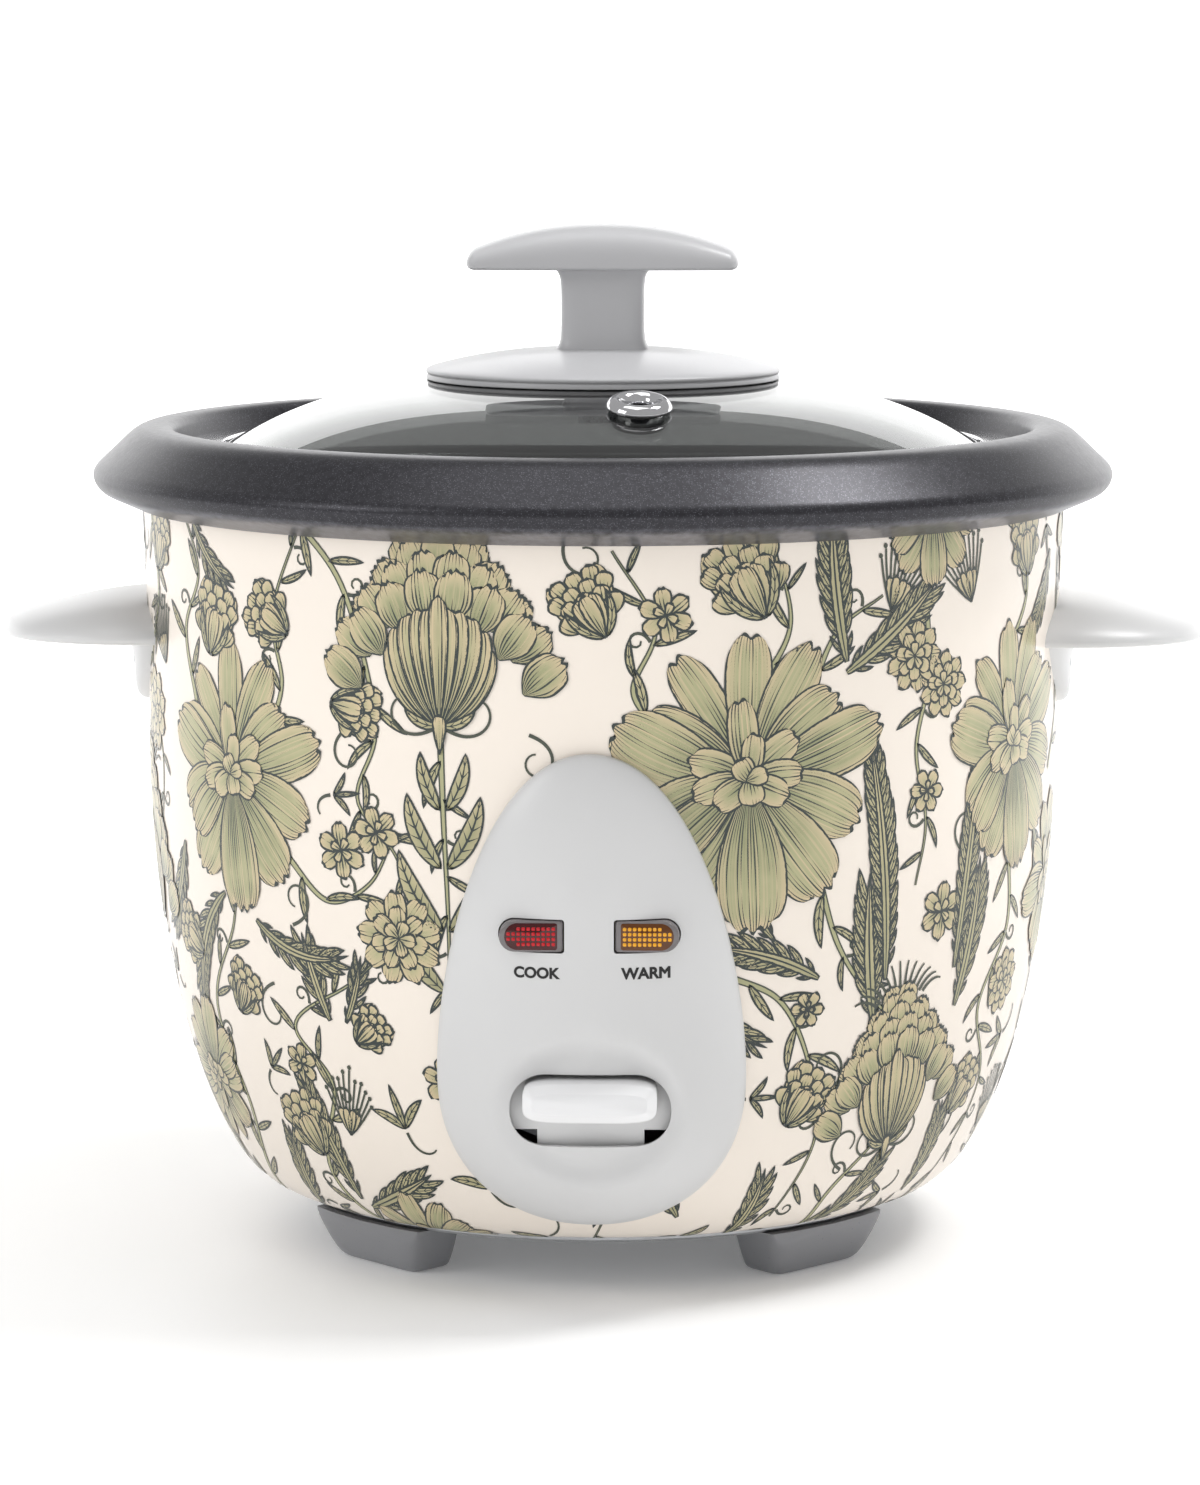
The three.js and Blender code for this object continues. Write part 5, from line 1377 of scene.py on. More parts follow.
    def filler(self, shift: float) -> None:
        """Small leaves scattered where nothing else is drawn.

        Args:
            shift: How far along the print it starts.
        """
        s = self.sheet
        taken = np.concatenate([shape["points"][::2, ::2].reshape(-1, 2)
                                for shapes in s.shapes.values() for shape in shapes])
        for _ in range(700):
            spot = np.array([shift + s.chance.uniform(-self.length / 2, self.length / 2),
                             s.chance.uniform(2.0, 147.0)])
            gap = np.hypot(*(taken - spot).T).min()
            if gap < 5.2:
                continue
            gap = min(gap, 9.0)
            heading = s.chance.uniform(0, 360)
            for side in (-34, 34):
                s.leaf(spot, heading + side, gap * 1.05, gap * 0.19, 2.0, bend=side)
            s.leaf(spot, heading, gap * 1.2, gap * 0.17, 2.4)
            s.curl(spot, heading + 180, gap * 1.1, 120, 1.8)
            ring = np.stack([np.cos(np.linspace(0, TURN, 9)), np.sin(np.linspace(0, TURN, 9))], -1)
            taken = np.vstack([taken, spot + ring * gap * 0.8, spot])

    def build(self) -> list[Piece]:
        """Draws the whole print and lays it on the drum.

        Returns:
            The pieces.
        """
        for shift in (0.0, self.length):
            self.stems(shift)
            self.leaves(shift)
            self.blossoms(shift)
            self.filler(shift)
        return self.sheet.lay()


# ---------------------------------------------------------------- pot, liner and heating plate
@dataclass
class CookingPot:
    """The lift-out pot with its lid seat and its wide, turned-down lip."""

    inner: float = 79.2
    floor: float = 71.7
    seat: float = 157.5
    lip_top: float = 162.8
    lip_radius: float = 102.5
    wall: float = 1.4

    def build(self, material: Material) -> Piece:
        """Makes the pot.

        Args:
            material: The coating.

        Returns:
            The pot.
        """
        nose = self.lip_top - 10.3
        line = smooth_line([
            (0.0, self.floor, 0), (self.inner, self.floor, 11), (self.inner, self.seat - 0.6, 0.8),
            (self.inner + 1.0, self.seat, 0.6), (84.8, self.seat, 0.9), (86.0, self.lip_top - 0.4, 1.8),
            (89.6, self.lip_top, 2.2), (93.4, self.lip_top - 0.7, 2.6),
                            (self.lip_radius - 0.2, nose + 1.2, 2.2),
            (self.lip_radius - 1.4, nose - 2.2, 1.8), (93.6, nose - 5.5, 0)], 9)
        points, faces = turned(line, 224)
        piece = mesh_object("pot_body", points, faces, material, closed=False)
        work = bmesh.new()
        work.from_mesh(piece.data)
        bmesh.ops.remove_doubles(work, verts=work.verts, dist=2e-6)
        work.normal_update()
        # The lining faces up and in, so the wall grows outwards and down.
        lowest = min(work.faces, key=lambda face: face.calc_center_median().to_2d().length)
        if lowest.normal.z < 0:
            bmesh.ops.reverse_faces(work, faces=work.faces)
        work.to_mesh(piece.data)
        work.free()
        solidify(piece, self.wall)
        return placed(piece, "pot", "nonstick", "cooking_pot")


@dataclass
class Works:
    """What is under the pot: liner, heating plate, thermostat, switch and wiring."""

    liner_radius: float = 84.0
    liner_floor: float = 54.7
    rim_radius: float = 91.7
    rim_top: float = 150.9
    plate_top: float = 70.0
    plate_radius: float = 65.6
    cap_radius: float = 18.0

    def liner(self, material: Material) -> None:
        """The pressed liner, from its floor hole to the flange on the drum's top edge.

        Args:
            material: The finish.
        """
        line = smooth_line([
            (22.0, self.liner_floor, 0), (self.liner_radius, self.liner_floor, 4),
            (self.liner_radius, self.rim_top, 1.6), (self.rim_radius, self.rim_top, 0)], 8)
        lower = line + np.array([0.0, -0.6])
        lower[line[:, 1] > self.liner_floor + 3.0, 0] += 0.6
        lower[-1, 0] -= 0.6
        loop = np.vstack([line, lower[::-1], line[:1]])
        piece = mesh_object("liner_pressing", *turned(loop, 200), material)
        placed(piece, "base", "sheet_steel", "inner_liner")

    def plate(self, material: Material) -> None:
        """The cast heating plate with its shallow turned dish, element ring and three legs.

        Args:
            material: The casting's finish.
        """
        low = self.plate_top - 5.5
        loop = smooth_line([
            (18.6, low, 0), (18.6, self.plate_top - 0.4, 0.6), (24.0, self.plate_top, 1.2),
            (self.plate_radius - 3.5, self.plate_top, 2.0), (self.plate_radius, self.plate_top - 2.6, 1.6),
            (self.plate_radius, low - 0.8, 1.0), (52.0, low - 1.0, 1.5), (50.0, low - 3.5, 1.2),
            (40.0, low - 3.5, 1.2), (38.0, low - 0.5, 1.5), (18.6, low, 0)], 6)
        parts = [turned(loop, 180)]
        for i in range(3):
            a = math.radians(60 + 120 * i)
            leg = smooth_line([(0.0, self.liner_floor + 0.3, 0), (4.6, self.liner_floor + 0.3, 0.6),
                               (5.2, low - 1.0, 2.0), (6.6, low + 1.0, 0), (0.0, low + 1.0, 0)], 5)
            points, faces = turned(leg, 28)
            parts.append((points + np.array([54.6 * math.cos(a), 54.6 * math.sin(a), 0.0]), faces))
        piece = mesh_object("heating_casting", *joined(*parts), material)
        placed(piece, "base", "cast_aluminium", "heating_plate")

    def thermostat(self, cap: Material, wire: Material) -> None:
        """The sprung cap in the plate's middle and the two coil springs under it.

        Args:
            cap: The cap's finish.
            wire: The springs' finish.
        """
        top = self.plate_top - 0.15
        loop = smooth_line([
            (0.0, top, 0), (self.cap_radius - 1.0, top, 1.4), (self.cap_radius, top - 1.4, 1.0),
            (self.cap_radius, top - 12.0, 0), (self.cap_radius - 0.8, top - 12.0, 0),
            (self.cap_radius - 0.8, top - 0.8, 0.8), (0.0, top - 0.8, 0)], 6)
        piece = mesh_object("thermostat_cap", *turned(loop, 96), cap)
        placed(piece, "sensor", "cast_aluminium", "sensor_cap")
        for name, node, turns in (("sensor_coil", "sensor_spring", 5.5), ("magnet_coil", "magnet_spring", 4.5)):
            low, high = (np.array(corner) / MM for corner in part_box(node))
            t = np.linspace(0.0, 1.0, int(turns * 26))
            radius = (high[0] - low[0]) / 2 - 0.6
            rise = low[2] + 0.6 + (high[2] - low[2] - 1.2) * np.clip((t - 0.06) / 0.88, 0.0, 1.0)
            path = np.stack([radius * np.cos(TURN * turns * t), radius * np.sin(TURN * turns * t), rise], -1)
            coil = mesh_object(name, *swept(path, 0.55, 8), wire)
            if name == "sensor_coil":
                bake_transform(coil)
                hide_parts(node)
            else:
                placed(coil, "sensor", "spring_steel", node)
                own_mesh(coil)

    def wires(self, sleeve: Material, red: Material) -> None:
        """Sleeved wires from the socket's blades to the heater, the switch and the lamps.

        Args:
            sleeve: The sleeved wires' finish.
            red: The red wires' finish.
        """
        routes = {
            "wire_heater_live": ([(-7, 60, 35), (-16, 52, 34), (-26, 40, 40), (-30, 39, 49.6)], sleeve),
            "wire_fuse": ([(-30, 21, 49.6), (-26, 26, 44), (-16, 38, 44), (-10.9, 43.7, 47.4)], sleeve),
            "wire_heater_neutral": ([(7, 60, 35), (16, 56, 36), (14, 48, 42), (10.9, 43.7, 47.4)], sleeve),
            "wire_switch": ([(0, 60, 38), (22, 44, 30), (34, 0, 22), (20, -40, 20), (8.2, -56, 22)], red),
            "wire_lamps": ([(-8.2, -56, 22), (-26, -62, 30), (-30, -74, 48), (-14, -86, 62),
                            (-2, -89.2, 75)], red),
        }
        for name, (points, material) in routes.items():
            tube = mesh_object(name, *swept(through(points, 40), 1.1, 10), material)
            placed(tube, "base", "wire_sleeve")


# ---------------------------------------------------------------- lid and knob
@dataclass
class Lid:
    """The glass lid with its steel band, steam vent and T-shaped knob.

    The dome's height at a radius is edge + rise (1 - (r / R)^n).
    """

    dome: float = 75.8
    edge: float = 158.2
    rise: float = 14.3
    power: float = 3.2
    glass: float = 3.2
    vent_reach: float = 51.0
    vent_turn: float = -80.8

    def height(self, r: Any) -> Any:
        """The glass's outside height at a radius."""
        return self.edge + self.rise * (1 - (np.minimum(r, self.dome) / self.dome) ** self.power)

    def vent_frame(self) -> Matrix:
        """Where the vent sits and how it leans with the glass.

        Returns:
            The vent's own frame.
        """
        turn = math.radians(self.vent_turn)
        slope = math.atan(self.rise * self.power / self.dome
                          * (self.vent_reach / self.dome) ** (self.power - 1))
        middle = float(self.height(self.vent_reach)) - self.glass / 2
        return (Matrix.Translation((self.vent_reach * math.cos(turn), self.vent_reach * math.sin(turn),
                                    middle))
                @ Matrix.Rotation(turn, 4, "Z") @ Matrix.Rotation(slope, 4, "Y"))

    def carried(self, points: Array, matrix: Matrix) -> Array:
        """Points moved by a matrix."""
        m = np.array(matrix)
        return points.reshape(-1, 3) @ m[:3, :3].T + m[:3, 3]

    def glass_dome(self, material: Material) -> None:
        """The glass, with holes for the vent and the knob's screw.

        Args:
            material: The finish.
        """
        r = self.dome * np.sin(np.linspace(0.0, math.pi / 2, 40))
        top = np.stack([r, self.height(r)], -1)
        rim = np.array([[77.2, self.edge - 0.1], [77.4, self.edge - 0.8], [77.4, self.edge - 2.6],
                        [76.8, self.edge - self.glass]])
        under = np.stack([r, self.height(r) - self.glass], -1)[::-1]
        piece = mesh_object("lid_dome", *turned(np.vstack([top, rim, under]), 180), material, crease=60.0)
        hole = turned(np.array([[0.0, -9.0], [4.0, -9.0], [4.0, 9.0], [0.0, 9.0]]), 40)
        vent = mesh_object("cutter", self.carried(hole[0], self.vent_frame()), hole[1], material)
        bolt = turned(np.array([[0.0, 160.0], [3.0, 160.0], [3.0, 180.0], [0.0, 180.0]]), 40)
        carved(piece, [vent, mesh_object("cutter", *bolt, material)], crease=60.0)
        placed(piece, "lid", "clear_glass", "lid_glass")

    def band(self, material: Material) -> None:
        """The rolled steel band round the glass, with a flat flange that rests on the pot's seat.

        Args:
            material: The finish.
        """
        loop = smooth_line([
            (75.7, 158.6, 0), (75.9, 159.0, 0.3), (81.6, 159.0, 0.9), (82.4, 158.4, 0.5), (82.3, 157.85, 0.3),
            (78.3, 157.85, 0.5), (78.2, 153.3, 0.4), (75.4, 153.3, 0.3), (75.4, 153.8, 0.2),
            (77.7, 153.8, 0.3), (77.7, 158.5, 0.3), (75.7, 158.6, 0)], 6)
        piece = mesh_object("lid_rim_band", *turned(loop, 200), material, crease=70.0)
        placed(piece, "lid", "polished_steel", "lid_band")

    def vent(self, material: Material) -> None:
        """The steam vent: a rolled eyelet with a thick rounded rim.

        Args:
            material: The finish.
        """
        half = self.glass / 2
        loop = smooth_line([
            (2.5, -half - 1.4, 0), (5.0, -half - 1.4, 0.6), (5.0, -half - 0.6, 0.3), (3.7, -half - 0.6, 0.2),
            (3.7, half + 0.3, 0.2), (6.1, half + 0.3, 0.5), (6.5, half + 1.2, 0.8), (5.4, half + 2.6, 1.2),
            (3.9, half + 2.7, 0.9), (2.7, half + 1.5, 0.8), (2.5, -half - 1.4, 0)], 7)
        points, faces = turned(loop, 72)
        piece = mesh_object("vent_rim", self.carried(points, self.vent_frame()), faces, material, crease=60.0)
        placed(piece, "lid", "polished_steel", "vent_eyelet")

    def knob(self, material: Material) -> None:
        """The domed base, the upright stem and the bowed bar of the knob.

        Args:
            material: The finish.
        """
        low, high = (np.array(corner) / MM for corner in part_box("knob_base"))
        reach, top, foot = high[0], high[2], low[2]
        r = np.linspace(0.0, 1.0, 26)
        dome = np.stack([r * (reach - 1.0), top - (top - foot - 1.9) * r**2.5], -1)
        edge = smooth_line([(reach - 1.0, foot + 1.9, 0), (reach - 0.1, foot + 1.5, 0.5),
                            (reach, foot + 0.9, 0.3),
                            (reach - 0.45, foot + 0.5, 0.2), (reach - 0.2, foot + 0.2, 0.2),
                            (reach - 0.15, foot - 0.5, 0.2), (reach - 0.8, foot - 0.6, 0)], 5)
        r_under = np.linspace(reach - 0.9, 0.0, 20)
        under = np.stack([r_under, self.height(r_under) + 0.04], -1)
        disc = mesh_object("knob_disc", *turned(np.vstack([dome, edge, under]), 144), material, crease=50.0)
        placed(disc, "lid", "grey_plastic", "knob_base")
        bottom, crest = top + 15.4, (np.array(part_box("knob_grip")[1]) / MM)[2]
        piece = mesh_object("knob_handle", *joined(self.bar(bottom, crest), self.stem(top, bottom)), material,
                            crease=60.0)
        placed(piece, "lid", "grey_plastic", "knob_grip")

    def bar(self, bottom: float, crest: float) -> Skin:
        """The bar: a flat underside, and a top that bows up along its length, with fillets all round.

        Over the underside the height at share x of the half length is end + (crest - end)(1 - x^2.2).
        Within a
        fillet's radius r of the end, everything draws in by r - sqrt(r^2 - (r - e)^2), e being the distance
        to the end.

        Args:
            bottom: Height of the underside.
            crest: Height of the top's middle.

        Returns:
            Points and faces.
        """
        half, fillet, end = 27.0, 1.8, 3.7
        reach = np.concatenate([np.linspace(0.0, half - 4.0, 26), half - fillet * (1 - np.sin(
            np.linspace(-0.6, math.pi / 2, 14)))])
        x = np.concatenate([-reach[:0:-1], reach])
        share = np.abs(x) / half
        from_end = np.clip(half - np.abs(x), 0.0, fillet)
        inset = fillet - np.sqrt(np.clip(fillet**2 - (fillet - from_end) ** 2, 0.0, None))
        bow = end + (crest - bottom - end) * (1 - share**2.2)
        depth = 10.5 * (1 - 0.24 * share**3) - inset * 1.3
        top, low = bottom + bow - inset, bottom + inset * 0.55
        # The section: an ellipse above and a nearly flat rounded sole below.
        t = np.linspace(0.0, TURN, 64, endpoint=False)
        c, v = np.cos(t), np.sin(t)
        sole = low + 0.9
        y = depth[:, None] * np.sign(c) * np.abs(c) ** 0.62
        z = sole[:, None] + np.where(v >= 0, (top - sole)[:, None] * np.clip(v, 0, 1) ** 0.72,
                                     -0.9 * np.clip(-v, 0, 1) ** 0.5)
        return lofted(grid_points(x[:, None], y, z))

    def stem(self, foot: float, head: float) -> Skin:
        """The stem: a rounded oblong that flares where it meets the base and the bar.

        Args:
            foot: Height of the lower end.
            head: Height of the upper end.

        Returns:
            Points and faces.
        """
        z = np.linspace(foot - 0.6, head + 1.2, 34)
        t = (z - foot) / (head - foot)
        flare = 1 + 0.10 * np.exp(-t * 14) + 0.12 * np.exp(-(1 - t) * 14)
        section = rounded_section(8.3, 6.1, 5.0, 64)
        return lofted(grid_points(flare[:, None] * section[:, 0], flare[:, None] * section[:, 1], z[:, None]))


# ---------------------------------------------------------------- handles and feet
@dataclass
class SideHandle:
    """A shelf handle with a pointed shield under it."""

    drum: Drum
    level: float = 119.6
    reach: float = 28.5
    half: float = 27.0
    edge: float = 3.6
    rise: float = 9.6

    def shelf(self) -> Skin:
        """The shelf: sections across it, flat below and bowed above, drawn in to a round tip.

        At share s of the reach the half width is w (1 - s^2.4)^0.5 and the height falls as 1 - s^1.7.

        Returns:
            Points and faces.
        """
        s = np.concatenate([np.linspace(0.0, 0.86, 30),
                            0.86 + 0.14 * np.sin(np.linspace(0.05, math.pi / 2, 16))])
        x = self.drum.radius - 8.0 + (self.reach + 8.0) * s
        share = np.clip((x - self.drum.radius + 2) / (self.reach + 2), 0.0, 1.0)
        width = self.half * np.sqrt(np.clip(1 - share**2.4, 0.0, 1.0)) + 0.3
        nose = np.clip(1 - np.maximum(share - 0.95, 0.0) ** 2 / 0.05**2, 0.02, 1.0) ** 0.5
        height = self.edge + (self.rise - self.edge) * (1 - share**1.7)
        t = np.linspace(0.0, TURN, 56, endpoint=False)
        c, v = np.cos(t), np.sin(t)
        y = width[:, None] * np.sign(c) * np.abs(c) ** 0.82
        above = (height[:, None] - self.edge / 2) * np.clip(v, 0.0, 1.0) ** 1.25 * nose[:, None]
        below = self.edge / 2 * np.clip(-v, 0.0, 1.0) ** 0.45 * nose[:, None]
        z = self.level + self.edge / 2 + above - below
        return lofted(grid_points(x[:, None], y, z))

    def shield(self) -> Skin:
        """The shield: a plate on the drum that narrows to a blunt point below the shelf.

        Its face stands (1 - |v|^8)^0.5 of its thickness in front of the drum.

        Returns:
            Points and faces.
        """
        t = np.linspace(0.0, 0.995, 30)[:, None]
        v = np.linspace(-1.0, 1.0, 40)[None, :]
        half = 24.5 * (1 - t**1.5) ** 0.62
        z = self.level + 2.4 - 15.6 * t
        y = half * v
        proud = 3.2 * np.clip(1 - np.abs(v) ** 8, 0.0, 1.0) ** 0.5 * np.clip(1 - t**10, 0.0, 1.0) ** 0.5
        fillet = 4.0 * np.exp(-t * 9.0) * (1 - v**4)
        r = self.drum.radius_at(z) - 0.4 + proud + fillet
        front = grid_points(np.sqrt(r**2 - y**2), y, z)
        back = front * np.array([0.985, 1.0, 1.0]) - np.array([1.2, 0.0, 0.0])
        rows = np.concatenate([front, back[:, ::-1]], axis=1)
        return lofted(rows)

    def build(self, material: Material) -> None:
        """Makes both handles, the left one turned half round.

        Args:
            material: The finish.
        """
        for name, sign in (("right", 1.0), ("left", -1.0)):
            points, faces = joined(self.shelf(), self.shield())
            piece = mesh_object(f"side_handle_{name}", points * np.array([sign, sign, 1.0]), faces, material,
                                crease=55.0)
            placed(piece, "base", "grey_plastic", f"handle_{name}")


@dataclass
class Feet:
    """Four moulded feet: wedges that narrow and lean in towards the floor."""

    outer: float = 65.6
    depth: float = 14.0
    toe_depth: float = 9.5
    width: float = 31.0
    toe_width: float = 22.0
    height: float = 9.4

    def build(self, material: Material) -> None:
        """Makes the feet.

        Args:
            material: The finish.
        """
        section = rounded_section(0.5, 0.5, 7.0, 56)
        t = np.concatenate([[0.0, 0.01, 0.04, 0.09], np.linspace(0.16, 1.0, 12)])
        inset = np.array([0.9, 0.96, 0.985, 1.0] + [1.0] * 12)
        depth = (self.toe_depth + (self.depth - self.toe_depth) * t**0.7) * inset
        width = (self.toe_width + (self.width - self.toe_width) * t**0.7) * inset
        middle = self.outer - self.depth + (self.toe_depth + (self.depth - self.toe_depth) * t**0.7) / 2
        y = width[:, None] * section[:, 1]
        x = middle[:, None] + depth[:, None] * section[:, 0]
        x = np.minimum(x, np.sqrt(self.outer**2 - y**2))
        points, faces = lofted(grid_points(x, y, self.height * t[:, None]))
        for i in range(4):
            a = math.radians(-45 + 90 * i)
            spin = np.array([[math.cos(a), -math.sin(a), 0], [math.sin(a), math.cos(a), 0], [0, 0, 1]])
            piece = mesh_object(f"foot_pad_{i + 1}", points.reshape(-1, 3) @ spin.T, faces, material)
            placed(piece, "base", "foot_plastic", f"foot_{i + 1}")


# ---------------------------------------------------------------- control panel
@dataclass
class Panel:
    """The egg-shaped panel with its lamps, words, lever and dish."""

    drum: Drum
    waist: float = 46.9
    upper: float = 61.5
    lower: float = 31.1
    half: float = 29.0
    edge: float = 1.6
    bulge: float = 8.6
    belly: float = 0.35
    slot_level: float = 41.3
    dish: float = 3.6
    lens_level: float = 75.5
    spread: float = 10.7

    def egg(self, h: Array) -> Array:
        """Half the panel's width, as a share of its widest, at a height above the waist."""
        up = np.clip(1 - (np.clip(h, 0, None) / self.upper) ** 1.75, 0.0, 1.0) ** 0.47
        down = np.clip(1 - (np.clip(-h, 0, None) / self.lower) ** 2.3, 0.0, 1.0) ** 0.48
        return np.where(h >= 0, up, down)

    def share(self, x: Array, h: Array) -> Array:
        """How far a point is from the middle (0) towards the outline (1), by halving the interval.

        Args:
            x: Offset across.
            h: Offset upwards.

        Returns:
            The share for each point.
        """
        low, high = np.full(np.shape(x), 1e-4), np.full(np.shape(x), 1.6)
        for _ in range(40):
            middle = (low + high) / 2
            outside = np.abs(x) / middle > self.half * self.egg(h / middle)
            low, high = np.where(outside, middle, low), np.where(outside, high, middle)
        return high

    def face(self, x: Array, z: Array, s: Array) -> Array:
        """The front face's y: the drum's own face, a dome, a part of the drum's bend, less the dish.

        Args:
            x: Across.
            z: Height.
            s: Share from the middle to the outline.

        Returns:
            The y of each point.
        """
        r = self.drum.radius_at(z)
        s = np.clip(s, 0.0, 1.0)
        dome = np.clip(1 - s**2.6, 0.0, 1.0) ** 0.6
        fill = self.belly * (self.drum.radius - r) * (1 - s * s)
        away = np.sqrt((x / 16.8) ** 2 + ((z - self.slot_level) / 14.3) ** 2)
        ease = np.clip((1.14 - away) / 0.44, 0.0, 1.0)
        dish = self.dish * ease * ease * (3 - 2 * ease)
        return -np.sqrt(r * r - x * x) - (self.edge + (self.bulge - self.edge) * dome + fill - dish)

    def shell(self, material: Material) -> None:
        """The moulding: rings from the middle to the outline, a rounded edge and a hollow back.

        Args:
            material: The finish.
        """
        s = np.sin(np.linspace(0.0, math.pi / 2, 44)) ** 0.9
        turn = np.linspace(0.0, TURN, 160, endpoint=False)
        h_edge = np.where(np.sin(turn) >= 0, self.upper, self.lower) * np.sin(turn)
        x_edge = np.sign(np.cos(turn)) * self.half * self.egg(h_edge)
        x, h = s[:, None] * x_edge, s[:, None] * h_edge
        z = self.waist + h
        y = self.face(x, z, s[:, None] + 0.0 * x)
        front = np.stack([x, y, z], -1)
        seat = -np.sqrt(self.drum.radius_at(z) ** 2 - x * x)
        rim = np.stack([x[-1], seat[-1] + 0.3, z[-1]], -1)[None]
        # The wall thins behind the dish, where the lever's skirt passes.
        vein_width_and_lip_light = np.clip((1.5 - np.hypot(x / 16.8, (z - self.slot_level) / 14.3)) / 0.4, 0.0, 1.0)
        hollow = grid_points(x * 0.95, np.minimum(y + 2.2 - 1.3 * vein_width_and_lip_light, seat - 0.3),
                             self.waist + h * 0.95)[::-1]
        rows = np.concatenate([front, rim, hollow])
        piece = mesh_object("panel_moulding", rows, grid_faces(len(rows), len(turn), wrap=True), material)
        slot = rounded_section(7.3, 7.25, 2.15, 80)
        slot[:, 0] += 7.8 * np.sign(np.round(slot[:, 0], 6))
        cutters = [self.prism(slot, self.slot_level, 0.0, material)]
        for side in (-1, 1):
            outline = self.lens_outline(side, 0.25)
            cutters.append(self.prism(outline, self.lens_level, side * self.spread, material))
        carved(piece, cutters, crease=38.0)
        soften(piece, 0.35, 50.0)
        placed(piece, "base", "grey_plastic", "control_panel")

    def prism(self, outline: Array, z: float, x: float, material: Material) -> Piece:
        """A cutter that runs along Y behind an outline in X and Z."""
        rows = grid_points(outline[:, 0] + x, np.array([[-110.0], [-84.0]]), outline[:, 1] + z)
        return mesh_object("cutter", *lofted(rows), material)

    def lens_outline(self, side: int, growth: float) -> Array:
        """A lens seen from the front: round at its outer end and square at its inner end.

        Args:
            side: -1 on the left, 1 on the right.
            growth: How much larger than the lens.

        Returns:
            The outline's points.
        """
        r, half = 2.9 + growth, 5.9 + growth
        t = np.linspace(-math.pi / 2, math.pi / 2, 24)
        round_end = np.stack([half - r + r * np.cos(t), r * np.sin(t)], -1)
        top = np.stack([np.linspace(half - r, -half + 0.5, 14)[1:], np.full(13, r)], -1)
        corner = np.array([[-half + 0.15, r - 0.15], [-half, r - 0.5]])
        back = np.stack([np.full(8, -half), np.linspace(r - 0.5, -r + 0.5, 9)[1:]], -1)
        outline = np.vstack([round_end, top, corner, back, corner[::-1] * [1, -1], top[::-1] * [1, -1]])
        return outline * np.array([side, 1.0])

    def lens(self, side: int, name: str, tint: Material, deep: Material,
             smoke: Material) -> None:
        """One lamp lens: a clear surround, a deep-tinted field and its grid of brighter beads.

        Args:
            side: -1 for the left lens and 1 for the right.
            name: The lens's name.
            tint: The beads' finish.
            deep: The field's finish.
            smoke: The surround's finish.
        """
        outline = self.lens_outline(side, 0.0)
        middle = np.array([side * self.spread, 0.0, self.lens_level])
        front = float(self.face(np.array(middle[0]), np.array(self.lens_level), np.array(0.5)))
        slot = f"{'red' if side < 0 else 'amber'}_lens"
        # Each ring is the outline at a share of its size and a step behind or before the face.
        share, step = np.array([[1.0, 3.4], [1.0, -0.1], [0.97, -0.38], [0.90, -0.5]]).T[..., None]
        rows = grid_points(outline[:, 0] * share, front + step, outline[:, 1] * share) + middle
        surround = mesh_object(f"{name}_lens_surround", *lofted(rows), smoke, crease=50.0)
        placed(surround, "base", slot, f"{name}_lens")
        share, step = np.array([[0.86, -0.3], [0.86, -0.56], [0.82, -0.64]]).T[..., None]
        inset = grid_points(outline[:, 0] * share * 0.96, front + step, outline[:, 1] * share) + middle
        placed(mesh_object(f"{name}_lens_field", *lofted(inset), deep, crease=50.0), "base", slot)
        beads = []
        for row in range(4):
            for column in range(10):
                x = -4.15 + 0.92 * column
                z = -1.42 + 0.95 * row
                if x > 3.0 and abs(z) > 1.2:
                    continue
                t = np.linspace(0.0, 1.0, 4)[:, None]
                section = rounded_section(0.36, 0.36, 4.0, 8)
                ring, rise = np.cos(t * math.pi / 2) * section[:, 0], np.cos(t * math.pi / 2) * section[:, 1]
                depth = front - 0.6 - 0.24 * np.sin(t * math.pi / 2)
                beads.append(lofted(grid_points((ring + x) * side + middle[0], depth, rise + z + middle[2])))
        placed(mesh_object(f"{name}_lens_beads", *joined(*beads), tint, crease=50.0), "base", slot)

    def word(self, text: str, x: float, z: float, width: float, material: Material) -> None:
        """A short word printed on the panel.

        Args:
            text: The word.
            x: Its middle across.
            z: Its middle height.
            width: Its width in millimetres.
            material: The ink.
        """
        curve = bpy.data.curves.new(f"word_{text.lower()}", "FONT")
        curve.body = text
        curve.align_x = "CENTER"
        curve.align_y = "CENTER"
        curve.bevel_depth = 0.04
        curve.bevel_resolution = 1
        source = bpy.data.objects.new("source", curve)
        bpy.context.scene.collection.objects.link(source)
        graph = bpy.context.evaluated_depsgraph_get()
        mesh = bpy.data.meshes.new_from_object(source.evaluated_get(graph))
        bpy.data.objects.remove(source)
        work = bmesh.new()
        work.from_mesh(mesh)
        bmesh.ops.triangulate(work, faces=work.faces)
        bmesh.ops.remove_doubles(work, verts=work.verts, dist=1e-5)
        solid = np.array([v.co[:] for v in work.verts])
        scale = width / np.ptp(solid[:, 0])
        flat = (solid[:, :2] - (solid[:, :2].max(axis=0) + solid[:, :2].min(axis=0)) / 2) * scale
        px, pz = flat[:, 0] + x, flat[:, 1] + z
        y = self.face(px, pz, self.share(px, pz - self.waist)) - 0.03 - solid[:, 2] * scale * 0.6
        for vert, place in zip(work.verts, np.stack([px, y, pz], -1) * MM):
            vert.co = place
        bmesh.ops.recalc_face_normals(work, faces=work.faces)
        if work.calc_volume(signed=True) < 0:
            bmesh.ops.reverse_faces(work, faces=work.faces)
        work.to_mesh(mesh)
        work.free()
        mesh.materials.clear()
        mesh.materials.append(material)
        piece = bpy.data.objects.new(f"label_{text.lower()}", mesh)
        bpy.context.scene.collection.objects.link(piece)
        placed(piece, "base", "grey_plastic")

